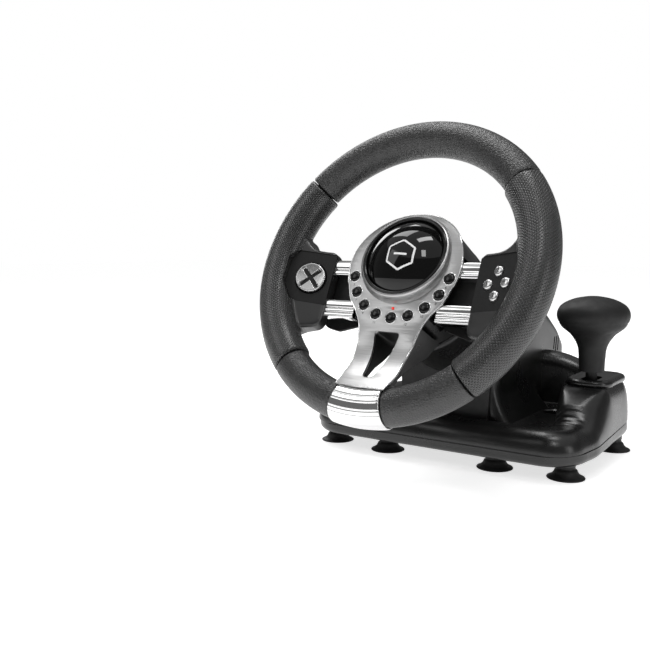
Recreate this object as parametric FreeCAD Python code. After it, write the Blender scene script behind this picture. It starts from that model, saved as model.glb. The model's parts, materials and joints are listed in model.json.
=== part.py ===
"""Racing wheel controller: a steering wheel on a weighted-foot base with a gear lever.

Frame: millimetres, +Z up, +X to the driver's right, -Y towards the driver.  The origin is on the
table under the middle of the object.  Wheel pieces are drawn flat in the wheel's own plane, with
X right, Y up the wheel and Z towards the driver, and to_wheel() leans them into place.
"""

import FreeCAD, Part
import math
import os

Vec = FreeCAD.Vector

# ---- steering wheel ----
rim_radius = 115.3
rim_tube = 14.7
grip_tube = 15.7
core_tube = 9.0
wheel_lean = 25.6
wheel_height = 171.1
half_depth = 168.54
top_seam = 38.0
low_seam = -48.5
seam_gap = 0.25
clip_sweep = 16.0
clip_half_width = 21.3
clip_tube = 16.2

# ---- hub ----
plate_face = -8.0
plate_thick = 3.0
plate_radius = 50.5
plate_centre = 4.6
hub_back = -50.0
hub_back_radius = 51.0
hub_wall = 2.5
spoke_inset = 1.0
ring_radius = 36.6
ring_centre = 13.2
ring_tilt = 8.0
dome_radius = 33.4
dome_rise = 14.0
button_circle = 44.1
button_step = 19.3
button_radius = 4.4
button_count = 9
button_gap = 0.3
button_travel = 1.2

# ---- control panels on the spokes ----
panel_half_width = 20.0
panel_half_height = 22.5
panel_u = 85.0
panel_v = -9.5
panel_tilt = 17.5
panel_face = -2.0
panel_thick = 8.0
key_radius = 4.2
key_u = 8.0
key_v = 10.0
dpad_radius = 13.0
dpad_gap = 1.2

# ---- paddles ----
paddle_hinge_u = 34.0
paddle_hinge_h = -28.0
paddle_pin_radius = 1.5
paddle_thick = 3.0

# ---- steering shaft and its drive ----
shaft_radius = 8.0
shaft_end = -214.0
bearing_radius = 13.0
bearing_places = (-125.0, -205.0)
bearing_width = 9.0
running_gap = 0.05
gear_module = 1.25
drive_teeth = 54
pinion_teeth = 18
gear_place = -172.0
gear_width = 7.0

# ---- base ----
base_half_width = 133.0
base_front = -48.2
base_rear = 127.8
base_bottom = 12.0
base_crest = 40.0
platform = 35.0
wall = 2.5
seam_height = 22.0
seam_slope = 0.06
bottom_slope = 0.045
slice_front = -200.0
slice_rear = 200.0
cup_radius = 15.5
cup_height = 10.5
cup_places = ((112.3, -20.5), (52.8, -25.7), (117.7, 94.3))
socket_place = (72.0, 64.8)
socket_radius = 9.5
socket_depth = 14.0
screw_places = ((95.0, -22.0), (30.0, -30.0), (84.0, 88.0))

# ---- column ----
column_half_width = 47.0
column_front = -14.2
barrel_front = -52.0
barrel_radius = 52.0
barrel_end = -150.0
barrel_end_radius = 46.0
cover_split = 22.0

# ---- gear lever ----
lever_x = 108.0
lever_y = 53.8
lever_pivot = 50.0
cap_low = 66.0
cap_high = 72.0
stem_radius = 5.0
lever_pin_radius = 3.0
lever_boss_radius = 8.0
lever_spring_radius = 6.0
lever_spring_wire = 0.7
lever_spring_pitch = 1.9
knob_low = 78.0
knob_high = 144.0
knob_radius = 31.0

# ---- places worked out from the dimensions ----
wheel_y = -half_depth + rim_radius * math.sin(math.radians(wheel_lean)) + clip_tube
middle_x = (lever_x + knob_radius - cup_places[2][0] - cup_radius) / 2
wheel_seat = FreeCAD.Placement(
    Vec(0, wheel_y, wheel_height), FreeCAD.Rotation(Vec(1, 0, 0), 90 - wheel_lean))
Z_AXIS = Vec(0, 0, 1)


# ---- helpers ----
def save(name, shape):
    """Write one piece, moved so that the object's whole width is centred on X = 0."""
    shape.translate(Vec(-middle_x, 0, 0))
    shape.exportStep("parts/" + name + ".step")


def to_wheel(shape):
    placed = shape.copy()
    placed.Placement = wheel_seat.multiply(placed.Placement)
    return placed


def wheel_point(u, v, h):
    return wheel_seat.multVec(Vec(u, v, h))


def mirrored(shape):
    return shape.mirror(Vec(0, 0, 0), Vec(1, 0, 0))


def fused(shapes):
    result = shapes[0].multiFuse(shapes[1:]) if len(shapes) > 1 else shapes[0]
    return result.removeSplitter()


def group(shapes):
    return Part.makeCompound(shapes)


def disc(radius, low, high, x=0.0, y=0.0):
    return Part.makeCylinder(radius, high - low, Vec(x, y, low))


def slab(x0, x1, y0, y1, z0, z1):
    return Part.makeBox(x1 - x0, y1 - y0, z1 - z0, Vec(x0, y0, z0))


def tube(outer, inner, low, high, x=0.0, y=0.0):
    return disc(outer, low, high, x, y).cut(disc(inner, low - 1, high + 1, x, y))


def rounded_wire(points, radii, place):
    """A closed wire through 2-D corners, rounded by tangent arcs; place maps 2-D to 3-D."""
    count = len(points)
    corners = []
    for i, (x, y) in enumerate(points):
        before = Vec(*points[i - 1], 0) - Vec(x, y, 0)
        after = Vec(*points[(i + 1) % count], 0) - Vec(x, y, 0)
        before.normalize()
        after.normalize()
        half = before.getAngle(after) / 2
        radius = radii[i] if isinstance(radii, (list, tuple)) else radii
        if radius == 0:
            corners.append((Vec(x, y, 0),) * 3)
            continue
        back = radius / math.tan(half)
        bisector = before + after
        bisector.normalize()
        centre = Vec(x, y, 0) + bisector * (radius / math.sin(half))
        corners.append((Vec(x, y, 0) + before * back, centre - bisector * radius,
                        Vec(x, y, 0) + after * back))
    edges = []
    for i, (start, middle, end) in enumerate(corners):
        if (end - start).Length > 0:
            edges.append(Part.Arc(place(start), place(middle), place(end)).toShape())
        following = corners[(i + 1) % count][0]
        if (following - end).Length > 1e-4:
            edges.append(Part.makeLine(place(end), place(following)))
    return Part.Wire(edges)


def flat(z):
    return lambda p: Vec(p.x, p.y, z)


def prism(points, radii, low, high):
    """A plate of the rounded outline between two heights."""
    face = Part.Face(rounded_wire(points, radii, flat(low)))
    return face.extrude(Vec(0, 0, high - low))


def side_prism(points, radii, x0, x1):
    """A block of a rounded (y, z) outline between two x values."""
    face = Part.Face(rounded_wire(points, radii, lambda p: Vec(x0, p.x, p.y)))
    return face.extrude(Vec(x1 - x0, 0, 0))


def box_points(x0, x1, y0, y1):
    return [(x0, y0), (x1, y0), (x1, y1), (x0, y1)]


def ring_arc(centre_radius, tube_radius, start, end, hole=None):
    """Part of a torus about Z, as a solid bar or, with hole, as a tube around the rim core."""
    outer = Part.Wire(Part.makeCircle(tube_radius, Vec(centre_radius, 0, 0), Vec(0, 1, 0)))
    wires = [outer]
    if hole:
        wires.append(Part.Wire(Part.makeCircle(hole, Vec(rim_radius, 0, 0), Vec(0, 1, 0))))
    face = Part.Face(wires, "Part::FaceMakerBullseye")
    bar = face.revolve(Vec(0, 0, 0), Z_AXIS, end - start)
    bar.rotate(Vec(0, 0, 0), Z_AXIS, start)
    return bar


def turned(profile):
    """A solid of revolution about Z from a closed outline of (radius, height) points."""
    points = [Vec(r, 0, z) for r, z in profile]
    wire = Part.makePolygon(points + [points[0]])
    return Part.Face(wire).revolve(Vec(0, 0, 0), Z_AXIS, 360)


def coil(radius, wire, pitch, height):
    """A helical spring about Z starting at the origin."""
    path = Part.makeHelix(pitch, height, radius)
    section = Part.Wire(Part.makeCircle(wire, Vec(radius, 0, 0), Vec(0, 1, 0)))
    return Part.Wire(path.Edges).makePipeShell([section], True, True)


def gear(teeth, width, bore, tooth_angle):
    """A spur gear about Z with involute teeth, one of them centred on tooth_angle (degrees)."""
    pressure = math.radians(20)
    pitch_radius = gear_module * teeth / 2
    base_radius = pitch_radius * math.cos(pressure)
    tip = pitch_radius + gear_module
    root = pitch_radius - 1.25 * gear_module
    start = max(base_radius, root)
    backlash = 0.12
    half_tooth = math.pi / (2 * teeth) - backlash / (2 * pitch_radius)
    flank = []
    for i in range(6):
        radius = start + (tip - start) * i / 5
        roll = math.acos(min(1.0, base_radius / radius))
        turn = half_tooth + (math.tan(pressure) - pressure) - (math.tan(roll) - roll)
        flank.append((radius, turn))
    if root < start:
        flank.insert(0, (root, flank[0][1]))
    points = []
    for tooth in range(teeth):
        middle = math.radians(tooth_angle) + tooth * 2 * math.pi / teeth
        sides = [(r, middle - a) for r, a in flank] + [(r, middle + a) for r, a in reversed(flank)]
        points += [Vec(r * math.cos(a), r * math.sin(a), 0) for r, a in sides]
    blank = Part.Face(Part.makePolygon(points + [points[0]])).extrude(Vec(0, 0, width))
    return blank.cut(disc(bore, -1, width + 1))


# ---- rim ----
def rim_core():
    return ring_arc(rim_radius, core_tube, 0, 360)


def spoke_frame():
    """Hub plate and two arms that carry the hoop, and that everything on the wheel bolts to."""
    rise = [(30, -23.0), (86, -23.0), (108, -7.5), (112, -4.0), (107, -2.5), (84, -20.0),
            (30, -20.0)]
    face = Part.Face(Part.makePolygon([Vec(u, -28, h) for u, h in rise + rise[:1]]))
    arm = face.extrude(Vec(0, 32, 0))
    hub = disc(31, -26, -20)
    frame = fused([arm, mirrored(arm), hub])
    return frame.cut(disc(shaft_radius, -40, 0)).cut(rim_core())


def grip_slab():
    """The lobe of the right grip that carries the control panel, before its pocket is cut."""
    outline = [(65.5, 15.5), (104, 28), (112, 0), (104, -62), (80, -53), (65.5, -49)]
    block = prism(outline, [4, 6, 20, 6, 6, 6], -19.5, 6.0)
    slope = math.tan(math.radians(panel_tilt))
    face = [(60, panel_face - (panel_u - 60) * slope + 1.0), (120, panel_face + 35 * slope + 1.0),
            (120, 60), (60, 60)]
    roof = Part.Face(Part.makePolygon([Vec(u, -90, h) for u, h in face + face[:1]]))
    return block.cut(roof.extrude(Vec(0, 180, 0)))


def rim_grip(frame, pocket):
    bar = ring_arc(rim_radius + rim_tube - grip_tube, grip_tube, low_seam + seam_gap,
                   top_seam - seam_gap)
    grip = bar.fuse(grip_slab()).removeSplitter()
    return grip.cut(rim_core()).cut(frame).cut(pocket)


def rim_clip(plate):
    band = ring_arc(rim_radius, clip_tube, -90 - clip_sweep, -90 + clip_sweep, core_tube)
    return band.common(slab(-clip_half_width, clip_half_width, -200, 0, -50, 50)).cut(plate)


# ---- hub ----
def plate_sheet(front, thick):
    """The bent sheet that the hub plate is cut from: front moves its face along the wheel axis."""
    rise = plate_face + front
    head = Part.BSplineCurve()
    head.interpolate(Points=[Vec(-90, v, rise - drop) for v, drop in
                             ((62, 11.5), (40, 4.0), (18, 0.7), (0, 0))],
                     InitialTangent=Vec(0, -1, 0.45), FinalTangent=Vec(0, -1, 0))
    spoke = Part.BSplineCurve()
    spoke.interpolate(Points=[Vec(-90, v, rise + lift) for v, lift in
                              ((-60, 0), (-75, 2.6), (-90, 11.0), (-104, 22.5))],
                      InitialTangent=Vec(0, -1, 0), FinalTangent=Vec(0, -1, 0.8))
    middle = Part.makeLine(Vec(-90, 0, rise), Vec(-90, -60, rise))
    top = Part.Wire([head.toShape(), middle, spoke.toShape()])
    down = top.copy()
    down.translate(Vec(0, 0, -thick))
    ends = [Part.makeLine(Vec(-90, v, rise + lift), Vec(-90, v, rise + lift - thick))
            for v, lift in ((62, -11.5), (-104, 22.5))]
    wire = Part.Wire(Part.__sortEdges__(top.Edges + down.Edges + ends))
    return Part.Face(wire).extrude(Vec(180, 0, 0))


def plate_outline():
    """The plate's front view: a round head that narrows into the lower spoke."""
    side = [(47.0, -12), (42.0, -25), (34.0, -35.5), (28.0, -46), (24.5, -62), (22.4, -76),
            (22.6, -88), (21.5, -104)]
    edge = Part.BSplineCurve()
    edge.interpolate([Vec(u, v, -60) for u, v in side], False)
    left = Part.BSplineCurve()
    left.interpolate([Vec(-u, v, -60) for u, v in reversed(side)], False)
    start = Vec(side[0][0], side[0][1], -60)
    head = Part.Arc(start, Vec(0, plate_centre + plate_radius, -60), Vec(-start.x, start.y, -60))
    foot = Part.makeLine(Vec(side[-1][0], side[-1][1], -60), Vec(-side[-1][0], side[-1][1], -60))
    wire = Part.Wire(Part.__sortEdges__(
        [edge.toShape(), head.toShape(), left.toShape(), foot]))
    return Part.Face(wire).extrude(Vec(0, 0, 120))


def hub_buttons():
    """Centres of the buttons on the plate, from the mode button's neighbours outwards."""
    half = (button_count - 1) // 2
    places = []
    for i in range(-half, half + 1):
        angle = math.radians(-90 + i * button_step)
        places.append((button_circle * math.cos(angle),
                       plate_centre + button_circle * math.sin(angle)))
    return places


def spoke_window():
    points = [(-11.5, -51.5), (11.5, -51.5), (4.5, -93), (-4.5, -93)]
    return prism(points, [3, 3, 4, 4], -60, 60)


def hub_plate():
    plate = plate_sheet(0, plate_thick).common(plate_outline()).cut(spoke_window())
    for u, v in hub_buttons():
        plate = plate.cut(disc(button_radius + button_gap, -60, 60, u, v))
    return plate.cut(disc(0.95, -60, 60, 0, -31.6)).cut(dome_well())


def dome_seat(shape):
    """Place a piece drawn about Z into the tilted seat of the hub's dome."""
    placed = shape.copy()
    seat = FreeCAD.Placement(Vec(0, ring_centre, -6.5),
                             FreeCAD.Rotation(Vec(1, 0, 0), -ring_tilt))
    placed.Placement = seat.multiply(placed.Placement)
    return placed


def dome_well():
    return dome_seat(disc(ring_radius, -14, 40))


def hub_ring():
    low, high = -9.0, 2.2
    inner = dome_radius + 0.05
    ring = turned([(inner, low), (ring_radius, low), (ring_radius, high - 1.4),
                   (ring_radius - 1.0, high), (inner + 0.8, high), (inner, high - 0.9)])
    return dome_seat(ring)


def hub_dome():
    ball = (dome_radius ** 2 + dome_rise ** 2) / (2 * dome_rise)
    cap = Part.makeSphere(ball, Vec(0, 0, dome_rise - ball)).common(disc(dome_radius, 0, 30))
    return dome_seat(cap.fuse(disc(dome_radius, -6, 0)).removeSplitter())


def spoke_backing():
    """Black body behind the lower spoke, deep at the hub and thin at the rim."""
    back = [(-46, 20), (-98, 20), (-98, -1), (-90, -4), (-80, -14), (-70, -27), (-60, -38),
            (-46, -46)]
    block = side_prism(back, 0, -40, 40)
    for shift in (-spoke_inset, spoke_inset):
        outline = plate_outline()
        outline.translate(Vec(shift, 0, 0))
        block = block.common(outline)
    clearance = ring_arc(rim_radius, clip_tube + 0.3, -90 - clip_sweep, -90 + clip_sweep)
    return block.cut(spoke_window()).cut(clearance)


def hub_rear_housing(frame):
    """Drum behind the plate with a bored back wall, and the body behind the lower spoke."""
    front = Part.Wire(Part.makeCircle(plate_radius - 0.6, Vec(0, plate_centre, 10)))
    back = Part.Wire(Part.makeCircle(hub_back_radius, Vec(0, 1, hub_back)))
    drum = Part.makeLoft([front, back], True, True).fuse(spoke_backing())
    front_in = Part.Wire(Part.makeCircle(plate_radius - 0.6 - hub_wall, Vec(0, plate_centre, 12)))
    back_in = Part.Wire(Part.makeCircle(hub_back_radius - hub_wall, Vec(0, 1, hub_back + 3)))
    drum = drum.cut(Part.makeLoft([front_in, back_in], True, True))
    drum = drum.cut(front_space())
    drum = drum.cut(disc(shaft_radius + 1.0, hub_back - 1, 0)).cut(frame)
    for u, v in hub_buttons():
        drum = drum.cut(disc(button_radius + 1.4, -16, 0, u, v))
    for side in (-1, 1):
        drum = drum.cut(slab(side * 44 - 14, side * 44 + 14, -47, 15, -36, -10.9))
    return drum


def front_space():
    """Everything in front of the plate's rear face."""
    return plate_sheet(30, 30 + plate_thick).fuse(plate_sheet(59, 30))


def spoke_bars():
    """Four fluted bars that join the hub to the grips, two on each side."""
    bars = []
    for v_low, v_high, u_in, flutes in ((-3.5, 10.0, 49.2, 2), (-40.5, -25.5, 39.0, 3)):
        bar = prism(box_points(u_in, 65.2, v_low, v_high), 1.0, -18.9, -11.2)
        step = (v_high - v_low) / flutes
        for i in range(1, flutes):
            groove = Part.makeCylinder(1.2, 60, Vec(30, v_low + i * step, -11.2), Vec(1, 0, 0))
            bar = bar.cut(groove)
        bars += [bar, mirrored(bar)]
    return bars


def hub_circuit_board():
    board = prism(box_points(-30, 30, -34, 20), 3, -18.5, -17.0)
    return board.cut(disc(shaft_radius + 2, -30, 0))


def status_led():
    lens = disc(0.9, -10.0, -7.2, 0, -31.6)
    return lens.fuse(disc(1.6, -14.0, -11.2, 0, -31.6)).fuse(disc(0.9, -11.3, -9.9, 0, -31.6))


def button(place, radius):
    """A plunger cap for the plate, with a collar that holds it in from behind."""
    u, v = place
    cap = disc(radius, -13.6, -7.1, u, v)
    edge = [e for e in cap.Edges if abs(e.BoundBox.ZMax - e.BoundBox.ZMin) < 0.01
            and e.BoundBox.ZMin > -7.2]
    cap = cap.makeFillet(0.9, edge)
    return cap.fuse(disc(radius + 1.0, -13.6, -11.5, u, v)).removeSplitter()


# ---- control panels ----
def panel_seat(shape, side):
    """Place a piece drawn about Z onto the right (side 1) or left (side -1) control panel."""
    placed = shape.copy()
    seat = FreeCAD.Placement(Vec(side * panel_u, panel_v, panel_face),
                             FreeCAD.Rotation(Vec(0, 1, 0), -side * panel_tilt))
    placed.Placement = seat.multiply(placed.Placement)
    return placed


def panel_outline(side, grow=0.0):
    w, t = panel_half_width + grow, panel_half_height + grow
    points = [(-w, -t), (w * 0.55, -t), (w, -t * 0.35), (w, t * 0.62), (w * 0.72, t), (-w, t)]
    radii = [1.5 + grow, 10, 14, 8, 5, 1.5 + grow]
    if side < 0:
        points = [(-x, y) for x, y in reversed(points)]
        radii = list(reversed(radii))
    return points, radii


def panel_block(side, grow=0.0, lift=0.0):
    points, radii = panel_outline(side, grow)
    return prism(points, radii, -panel_thick, lift)


def key_places():
    """Digits 1 to 4 on the right panel, as (across, up) on the panel's face."""
    return [(-key_u, -1.0), (0, key_v - 1.0), (0, -key_v - 1.0), (key_u, -1.0)]


def control_panel_right():
    panel = panel_block(1)
    for x, y in key_places():
        panel = panel.cut(disc(key_radius + button_gap, -4.0, 1, x, y))
        panel = panel.cut(disc(key_radius + 1.4, -panel_thick - 1, -3.4, x, y))
    return panel_seat(panel, 1).cut(rim_core()).cut(spoke_frame())


def control_panel_left():
    panel = panel_block(-1).cut(disc(dpad_radius + dpad_gap, -4.6, 1, 2.0, -0.9))
    return panel_seat(panel, -1).cut(rim_core()).cut(spoke_frame())


def panel_key(x, y):
    cap = disc(key_radius, -5.4, 1.6, x, y)
    edge = [e for e in cap.Edges if e.BoundBox.ZMin > 1.5]
    cap = cap.makeFillet(0.8, edge)
    return panel_seat(cap.fuse(disc(key_radius + 0.9, -5.4, -4.2, x, y)).removeSplitter(), 1)


def dpad():
    """Dished disc with a saltire of grooves; it rocks on a small pivot under its middle."""
    disc_low, disc_high = -2.6, 3.2
    pad = disc(dpad_radius, disc_low, disc_high)
    rim_edge = [e for e in pad.Edges if e.BoundBox.ZMin > disc_high - 0.1]
    pad = pad.makeFillet(1.4, rim_edge)
    dish = 60.0
    pad = pad.cut(Part.makeSphere(dish, Vec(0, 0, disc_high + dish - 1.2)))
    for turn in (45, 135):
        groove = slab(-11, 11, -1.3, 1.3, 1.0, 6)
        groove.rotate(Vec(0, 0, 0), Z_AXIS, turn)
        pad = pad.cut(groove)
    pad.translate(Vec(2.0, -0.9, 0))
    return panel_seat(pad, -1)


def dpad_pivot():
    return panel_seat(disc(3.0, -4.2, -3.2, 2.0, -0.9), -1)


# ---- paddles ----
def paddle(side):
    """Flat lever behind a spoke, hinged near the hub."""
    outline = [(37, -40), (60, -47), (76, -44), (78, -20), (74, 8), (60, 14), (37, 6)]
    radii = [3, 8, 8, 20, 8, 8, 3]
    plate = prism(outline, radii, -31.5, -31.5 + paddle_thick)
    knuckle = Part.makeCylinder(3.2, 30, Vec(paddle_hinge_u, -33, paddle_hinge_h), Vec(0, 1, 0))
    web = slab(paddle_hinge_u, 40, -33, -3, -31.5, -28.5)
    bore = Part.makeCylinder(paddle_pin_radius + running_gap, 60,
                             Vec(paddle_hinge_u, -45, paddle_hinge_h), Vec(0, 1, 0))
    lever = fused([plate, knuckle, web]).cut(bore)
    return lever if side > 0 else mirrored(lever)


def paddle_pins():
    pin = Part.makeCylinder(paddle_pin_radius, 38, Vec(paddle_hinge_u, -37, paddle_hinge_h),
                            Vec(0, 1, 0))
    ears = [slab(paddle_hinge_u - 2.0, paddle_hinge_u + 2.0, v, v + 2.6, -30.4, -23.0)
            for v in (-36.0, -2.0)]
    holder = fused([pin] + ears)
    return [holder, mirrored(holder)]


# ---- shaft ----
def steering_shaft():
    rod = disc(shaft_radius, shaft_end, -20.2)
    return rod.fuse(disc(20, -29, -26.1)).removeSplitter()


def pinion_centre():
    return -gear_module * (drive_teeth + pinion_teeth) / 2


def pot_pinion():
    y = pinion_centre()
    wheel = gear(pinion_teeth, gear_width, 3.0, 90 + 180 / pinion_teeth)
    wheel.translate(Vec(0, y, gear_place))
    return wheel.fuse(disc(3.0, gear_place - 14, gear_place + gear_width, 0, y)).removeSplitter()


def potentiometer():
    y = pinion_centre()
    body = disc(9.5, gear_place - 13, gear_place - 3, 0, y)
    return body.cut(disc(3.0 + running_gap, gear_place - 20, 0, 0, y))


# ---- base ----
def base_outline(inset):
    front, rear, half = base_front + inset, base_rear - inset, base_half_width - inset
    points = [(-half * 0.93, front), (half * 0.93, front), (half, front + 46), (half, 84),
              (half * 0.9, rear), (-half * 0.9, rear), (-half, 84), (-half, front + 46)]
    return points, [34 - inset, 34 - inset, 40, 40, 22 - inset, 22 - inset, 40, 40]


def bottom_at(y):
    """Height of the sloping underside."""
    return base_bottom + (y - base_front) * bottom_slope


def base_body(inset):
    """The base's closed outer form, or with inset the space inside its walls."""
    points, radii = base_outline(inset)
    body = prism(points, radii, base_bottom - 4, base_crest - inset)
    top = [e for e in body.Edges if e.BoundBox.ZMin > base_crest - inset - 0.1]
    body = body.makeFillet(15.0 - inset, top)
    floor = side_prism([(slice_front, -50), (slice_rear, -50),
                        (slice_rear, bottom_at(slice_rear) + inset),
                        (slice_front, bottom_at(slice_front) + inset)], 1.0, -200, 200)
    body = body.cut(floor)
    under = [e for e in body.Edges if e.BoundBox.ZMax < base_bottom + inset + 8.5]
    return body.makeFillet(6.0 - inset, under)


def seam_side(above, lift=0.0):
    """Half space above or below the sloping seam between the two base shells."""
    low = seam_height + lift + (slice_front - base_front) * seam_slope
    high = seam_height + lift + (slice_rear - base_front) * seam_slope
    far = 300 if above else -100
    points = [(slice_front, low), (slice_rear, high), (slice_rear, far), (slice_front, far)]
    wire = Part.makePolygon([Vec(-200, y, z) for y, z in points + points[:1]])
    return Part.Face(wire).extrude(Vec(400, 0, 0))


def well_outline(grow=0.0):
    points = [(-110 - grow, -18.5 - grow), (110 + grow, -18.5 - grow), (92 + grow, 96 + grow),
              (-92 - grow, 96 + grow)]
    return points, [14, 14, 10, 10]


def pod(inset):
    """The raised block at the right that carries the gear lever."""
    low = rounded_wire(box_points(84 + inset, 132.6 - inset, -22 + inset, 121 - inset),
                       20 - inset, flat(28))
    middle = rounded_wire(box_points(85 + inset, 131.5 - inset, 8 + inset, 116 - inset),
                          18 - inset, flat(46))
    high = rounded_wire(box_points(86 + inset, 129.5 - inset, 32 + inset, 106 - inset),
                        16 - inset, flat(cap_low if not inset else cap_low + 1))
    return Part.makeLoft([low, middle, high], True, False)


def bridge(inset):
    """The ridge that runs from the lever pod to the column along the back."""
    sections = []
    for x, top, low in ((column_half_width + 0.3, 88.0, 26.0), (112.0, 52.6, 26.0)):
        y0, y1 = 97.0 + inset, 125.0 - inset
        radius = (y1 - y0) / 2
        high = top - inset - radius
        middle = (y0 + y1) / 2
        sections.append(Part.Wire([
            Part.makeLine(Vec(x, y0, low), Vec(x, y0, high)),
            Part.Arc(Vec(x, y0, high), Vec(x, middle, high + radius), Vec(x, y1, high)).toShape(),
            Part.makeLine(Vec(x, y1, high), Vec(x, y1, low)),
            Part.makeLine(Vec(x, y1, low), Vec(x, y0, low))]))
    return Part.makeLoft(sections, True, True)


def base_block(inset):
    """The base's form with its sunken deck."""
    points, radii = well_outline(inset)
    return base_body(inset).cut(prism(points, radii, platform - inset, 90))


def base_upper_shell(screws):
    outer = base_block(0).fuse([pod(0), bridge(0)])
    inner = base_block(wall)
    ends = [slab(40, 50, 0, 200, 0, 100), slab(108, 120, 0, 200, 0, 100)]
    inner = inner.fuse([pod(wall), bridge(wall).cut(ends)])
    shell = outer.cut(inner).common(seam_side(True))
    shell = shell.cut(slab(-300, 300, -300, 300, -100, seam_height))
    cups = [disc(socket_radius + 2, platform - socket_depth - 2, platform - 1, s * socket_place[0],
                 socket_place[1]) for s in (-1, 1)]
    posts = [disc(5.0, 30.0, base_crest - 1.5 if y < 0 else platform - 1, s * x, y)
             for x, y in screw_places for s in (-1, 1)]
    shell = shell.fuse(cups + posts)
    for s in (-1, 1):
        shell = shell.cut(disc(socket_radius, platform - socket_depth, 60, s * socket_place[0],
                               socket_place[1]))
    shell = shell.cut(prism(box_points(89.5, 126, 38, 100), 11, cap_low - 4, cap_low + 4))
    return shell.cut(screws).removeSplitter()


def base_screws():
    """Six screws from below that clamp the base shells together."""
    screws = []
    for x, y in screw_places:
        for side in (-1, 1):
            head = bottom_at(y) + 0.6
            screws.append(disc(3.4, head, head + 2.0, side * x, y).fuse(
                disc(1.5, head + 2.0, 33.0, side * x, y)).removeSplitter())
    return screws


def base_lower_shell():
    shell = base_body(0).cut(base_body(wall)).common(seam_side(False))
    groove = seam_side(False).cut(seam_side(False, -0.7)).cut(base_body(0.9))
    shell = shell.cut(groove)
    for x, y in cup_places:
        for side in (-1, 1):
            shell = shell.fuse(disc(8.0, cup_height, bottom_at(y) + 3.0, side * x, y))
            shell = shell.cut(disc(3.5, cup_height - 1, cup_height + 3.5, side * x, y))
    for x, y in screw_places:
        for side in (-1, 1):
            low = bottom_at(y)
            shell = shell.fuse(disc(5.0, low + 1.2, 30.0, side * x, y))
            shell = shell.cut(disc(3.8, low - 5, low + 2.6, side * x, y))
    for x in (-36.0, 36.0):
        for y in (8.0, 52.0):
            shell = shell.fuse(disc(3.0, bottom_at(y) + 1.2, 20.0, x, y))
    return shell


def suction_cup():
    return turned([(0, 2.6), (9.0, 2.2), (14.6, 0.0), (cup_radius, 0.0), (cup_radius, 1.0),
                   (12.5, 3.4), (7.6, 4.8), (6.0, 6.6), (6.0, cup_height), (3.4, cup_height),
                   (3.4, cup_height + 3.2), (0, cup_height + 3.2)])


def main_circuit_board():
    board = prism(box_points(-42, 42, 2, 58), 3, 20.0, 21.6)
    chip = slab(-9, 9, 20, 38, 21.6, 23.6)
    jacks = [slab(-38 + i * 20, -26 + i * 20, 46, 57, 21.6, 29.0) for i in range(3)]
    return fused([board, chip] + jacks)


# ---- column ----
def column_solid(inset):
    """The column's closed form: block, barrel and flared skirt."""
    rear = half_depth - inset
    points = [(column_front + inset, platform - 4), (column_front + inset, 100), (16, 163 - inset),
              (76, 148 - inset), (126, 121 - inset), (150 - inset, 107 - inset), (rear, 90),
              (rear, 68), (150, 50 + inset), (122, platform + 3 + inset), (96, platform - 4)]
    half = column_half_width - inset
    body = side_prism(points, [0, 0, 20, 40, 30, 14, 12, 12, 14, 10, 0], -half, half)
    top = [e for e in body.Edges if abs(abs(e.CenterOfMass.x) - half) < 0.01
           and e.BoundBox.ZMin > 60 and e.BoundBox.YMin > 0]
    body = body.makeFillet(20.0 - inset, top)
    place = barrel_front - (2 if inset else 0)
    barrel = Part.makeCone(barrel_end_radius - inset, barrel_radius - inset,
                           place - barrel_end, Vec(0, 0, barrel_end), Z_AXIS)
    skirt = Part.makeLoft([
        rounded_wire(box_points(-61 + inset, 61 - inset, -14.2 + inset, 97 - inset), 12, flat(31)),
        rounded_wire(box_points(-58 + inset, 58 - inset, -13.6 + inset, 94 - inset), 12, flat(42)),
        rounded_wire(box_points(-46 + inset, 46 - inset, -12.0 + inset, 88 - inset), 10,
                     flat(64))], True, False)
    return fused([body, to_wheel(barrel), skirt])


def above_cover_split(lift):
    """Half space above the parting plane between the column housing and its top cover."""
    return to_wheel(slab(-200, 200, cover_split + lift, 300, -400, 300))


def column_window():
    """Three vents through each side of the top cover, near its back."""
    slots = [slab(36, 60, 128 + i * 6, 131 + i * 6, 84, 96) for i in range(3)]
    return slots + [mirrored(s) for s in slots]


def column_shell():
    shell = column_solid(0).cut(column_solid(wall))
    shell = shell.cut(slab(-300, 300, -300, 300, -100, platform)).cut(base_block(0))
    return shell.cut(to_wheel(disc(shaft_radius + 3, barrel_front - 20, barrel_front + 5)))


def column_front_panel():
    """Matte fascia on the front of the column, under the barrel."""
    y0 = column_front - 3.2
    points = [(-41, platform + 1.0), (41, platform + 1.0), (46.5, 104), (-46.5, 104)]
    face = Part.Face(rounded_wire(points, 2.0, lambda p: Vec(p.x, y0, p.y)))
    panel = face.extrude(Vec(0, 3.1, 0))
    keep_out = Part.makeCone(barrel_end_radius + 0.3, barrel_radius + 0.3,
                             barrel_front - barrel_end, Vec(0, 0, barrel_end), Z_AXIS)
    return panel.cut(to_wheel(keep_out))


def bearing_carrier():
    """Frame inside the column: two bored walls on a common foot, and the sensor's post."""
    parts = [slab(-20, 20, -4, 92, platform, platform + 4)]
    for h in bearing_places:
        middle = wheel_point(0, 0, h)
        parts.append(slab(-20, 20, middle.y - 6, middle.y + 6, platform, middle.z + 4))
        parts.append(to_wheel(disc(20, h - 5, h + 5)))
    frame = fused(parts)
    for h in bearing_places:
        frame = frame.cut(to_wheel(disc(bearing_radius, h - 20, h + 20)))
    return frame


def shaft_bearings():
    return [to_wheel(tube(bearing_radius, shaft_radius + running_gap, h - bearing_width / 2,
                          h + bearing_width / 2)) for h in bearing_places]


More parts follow.
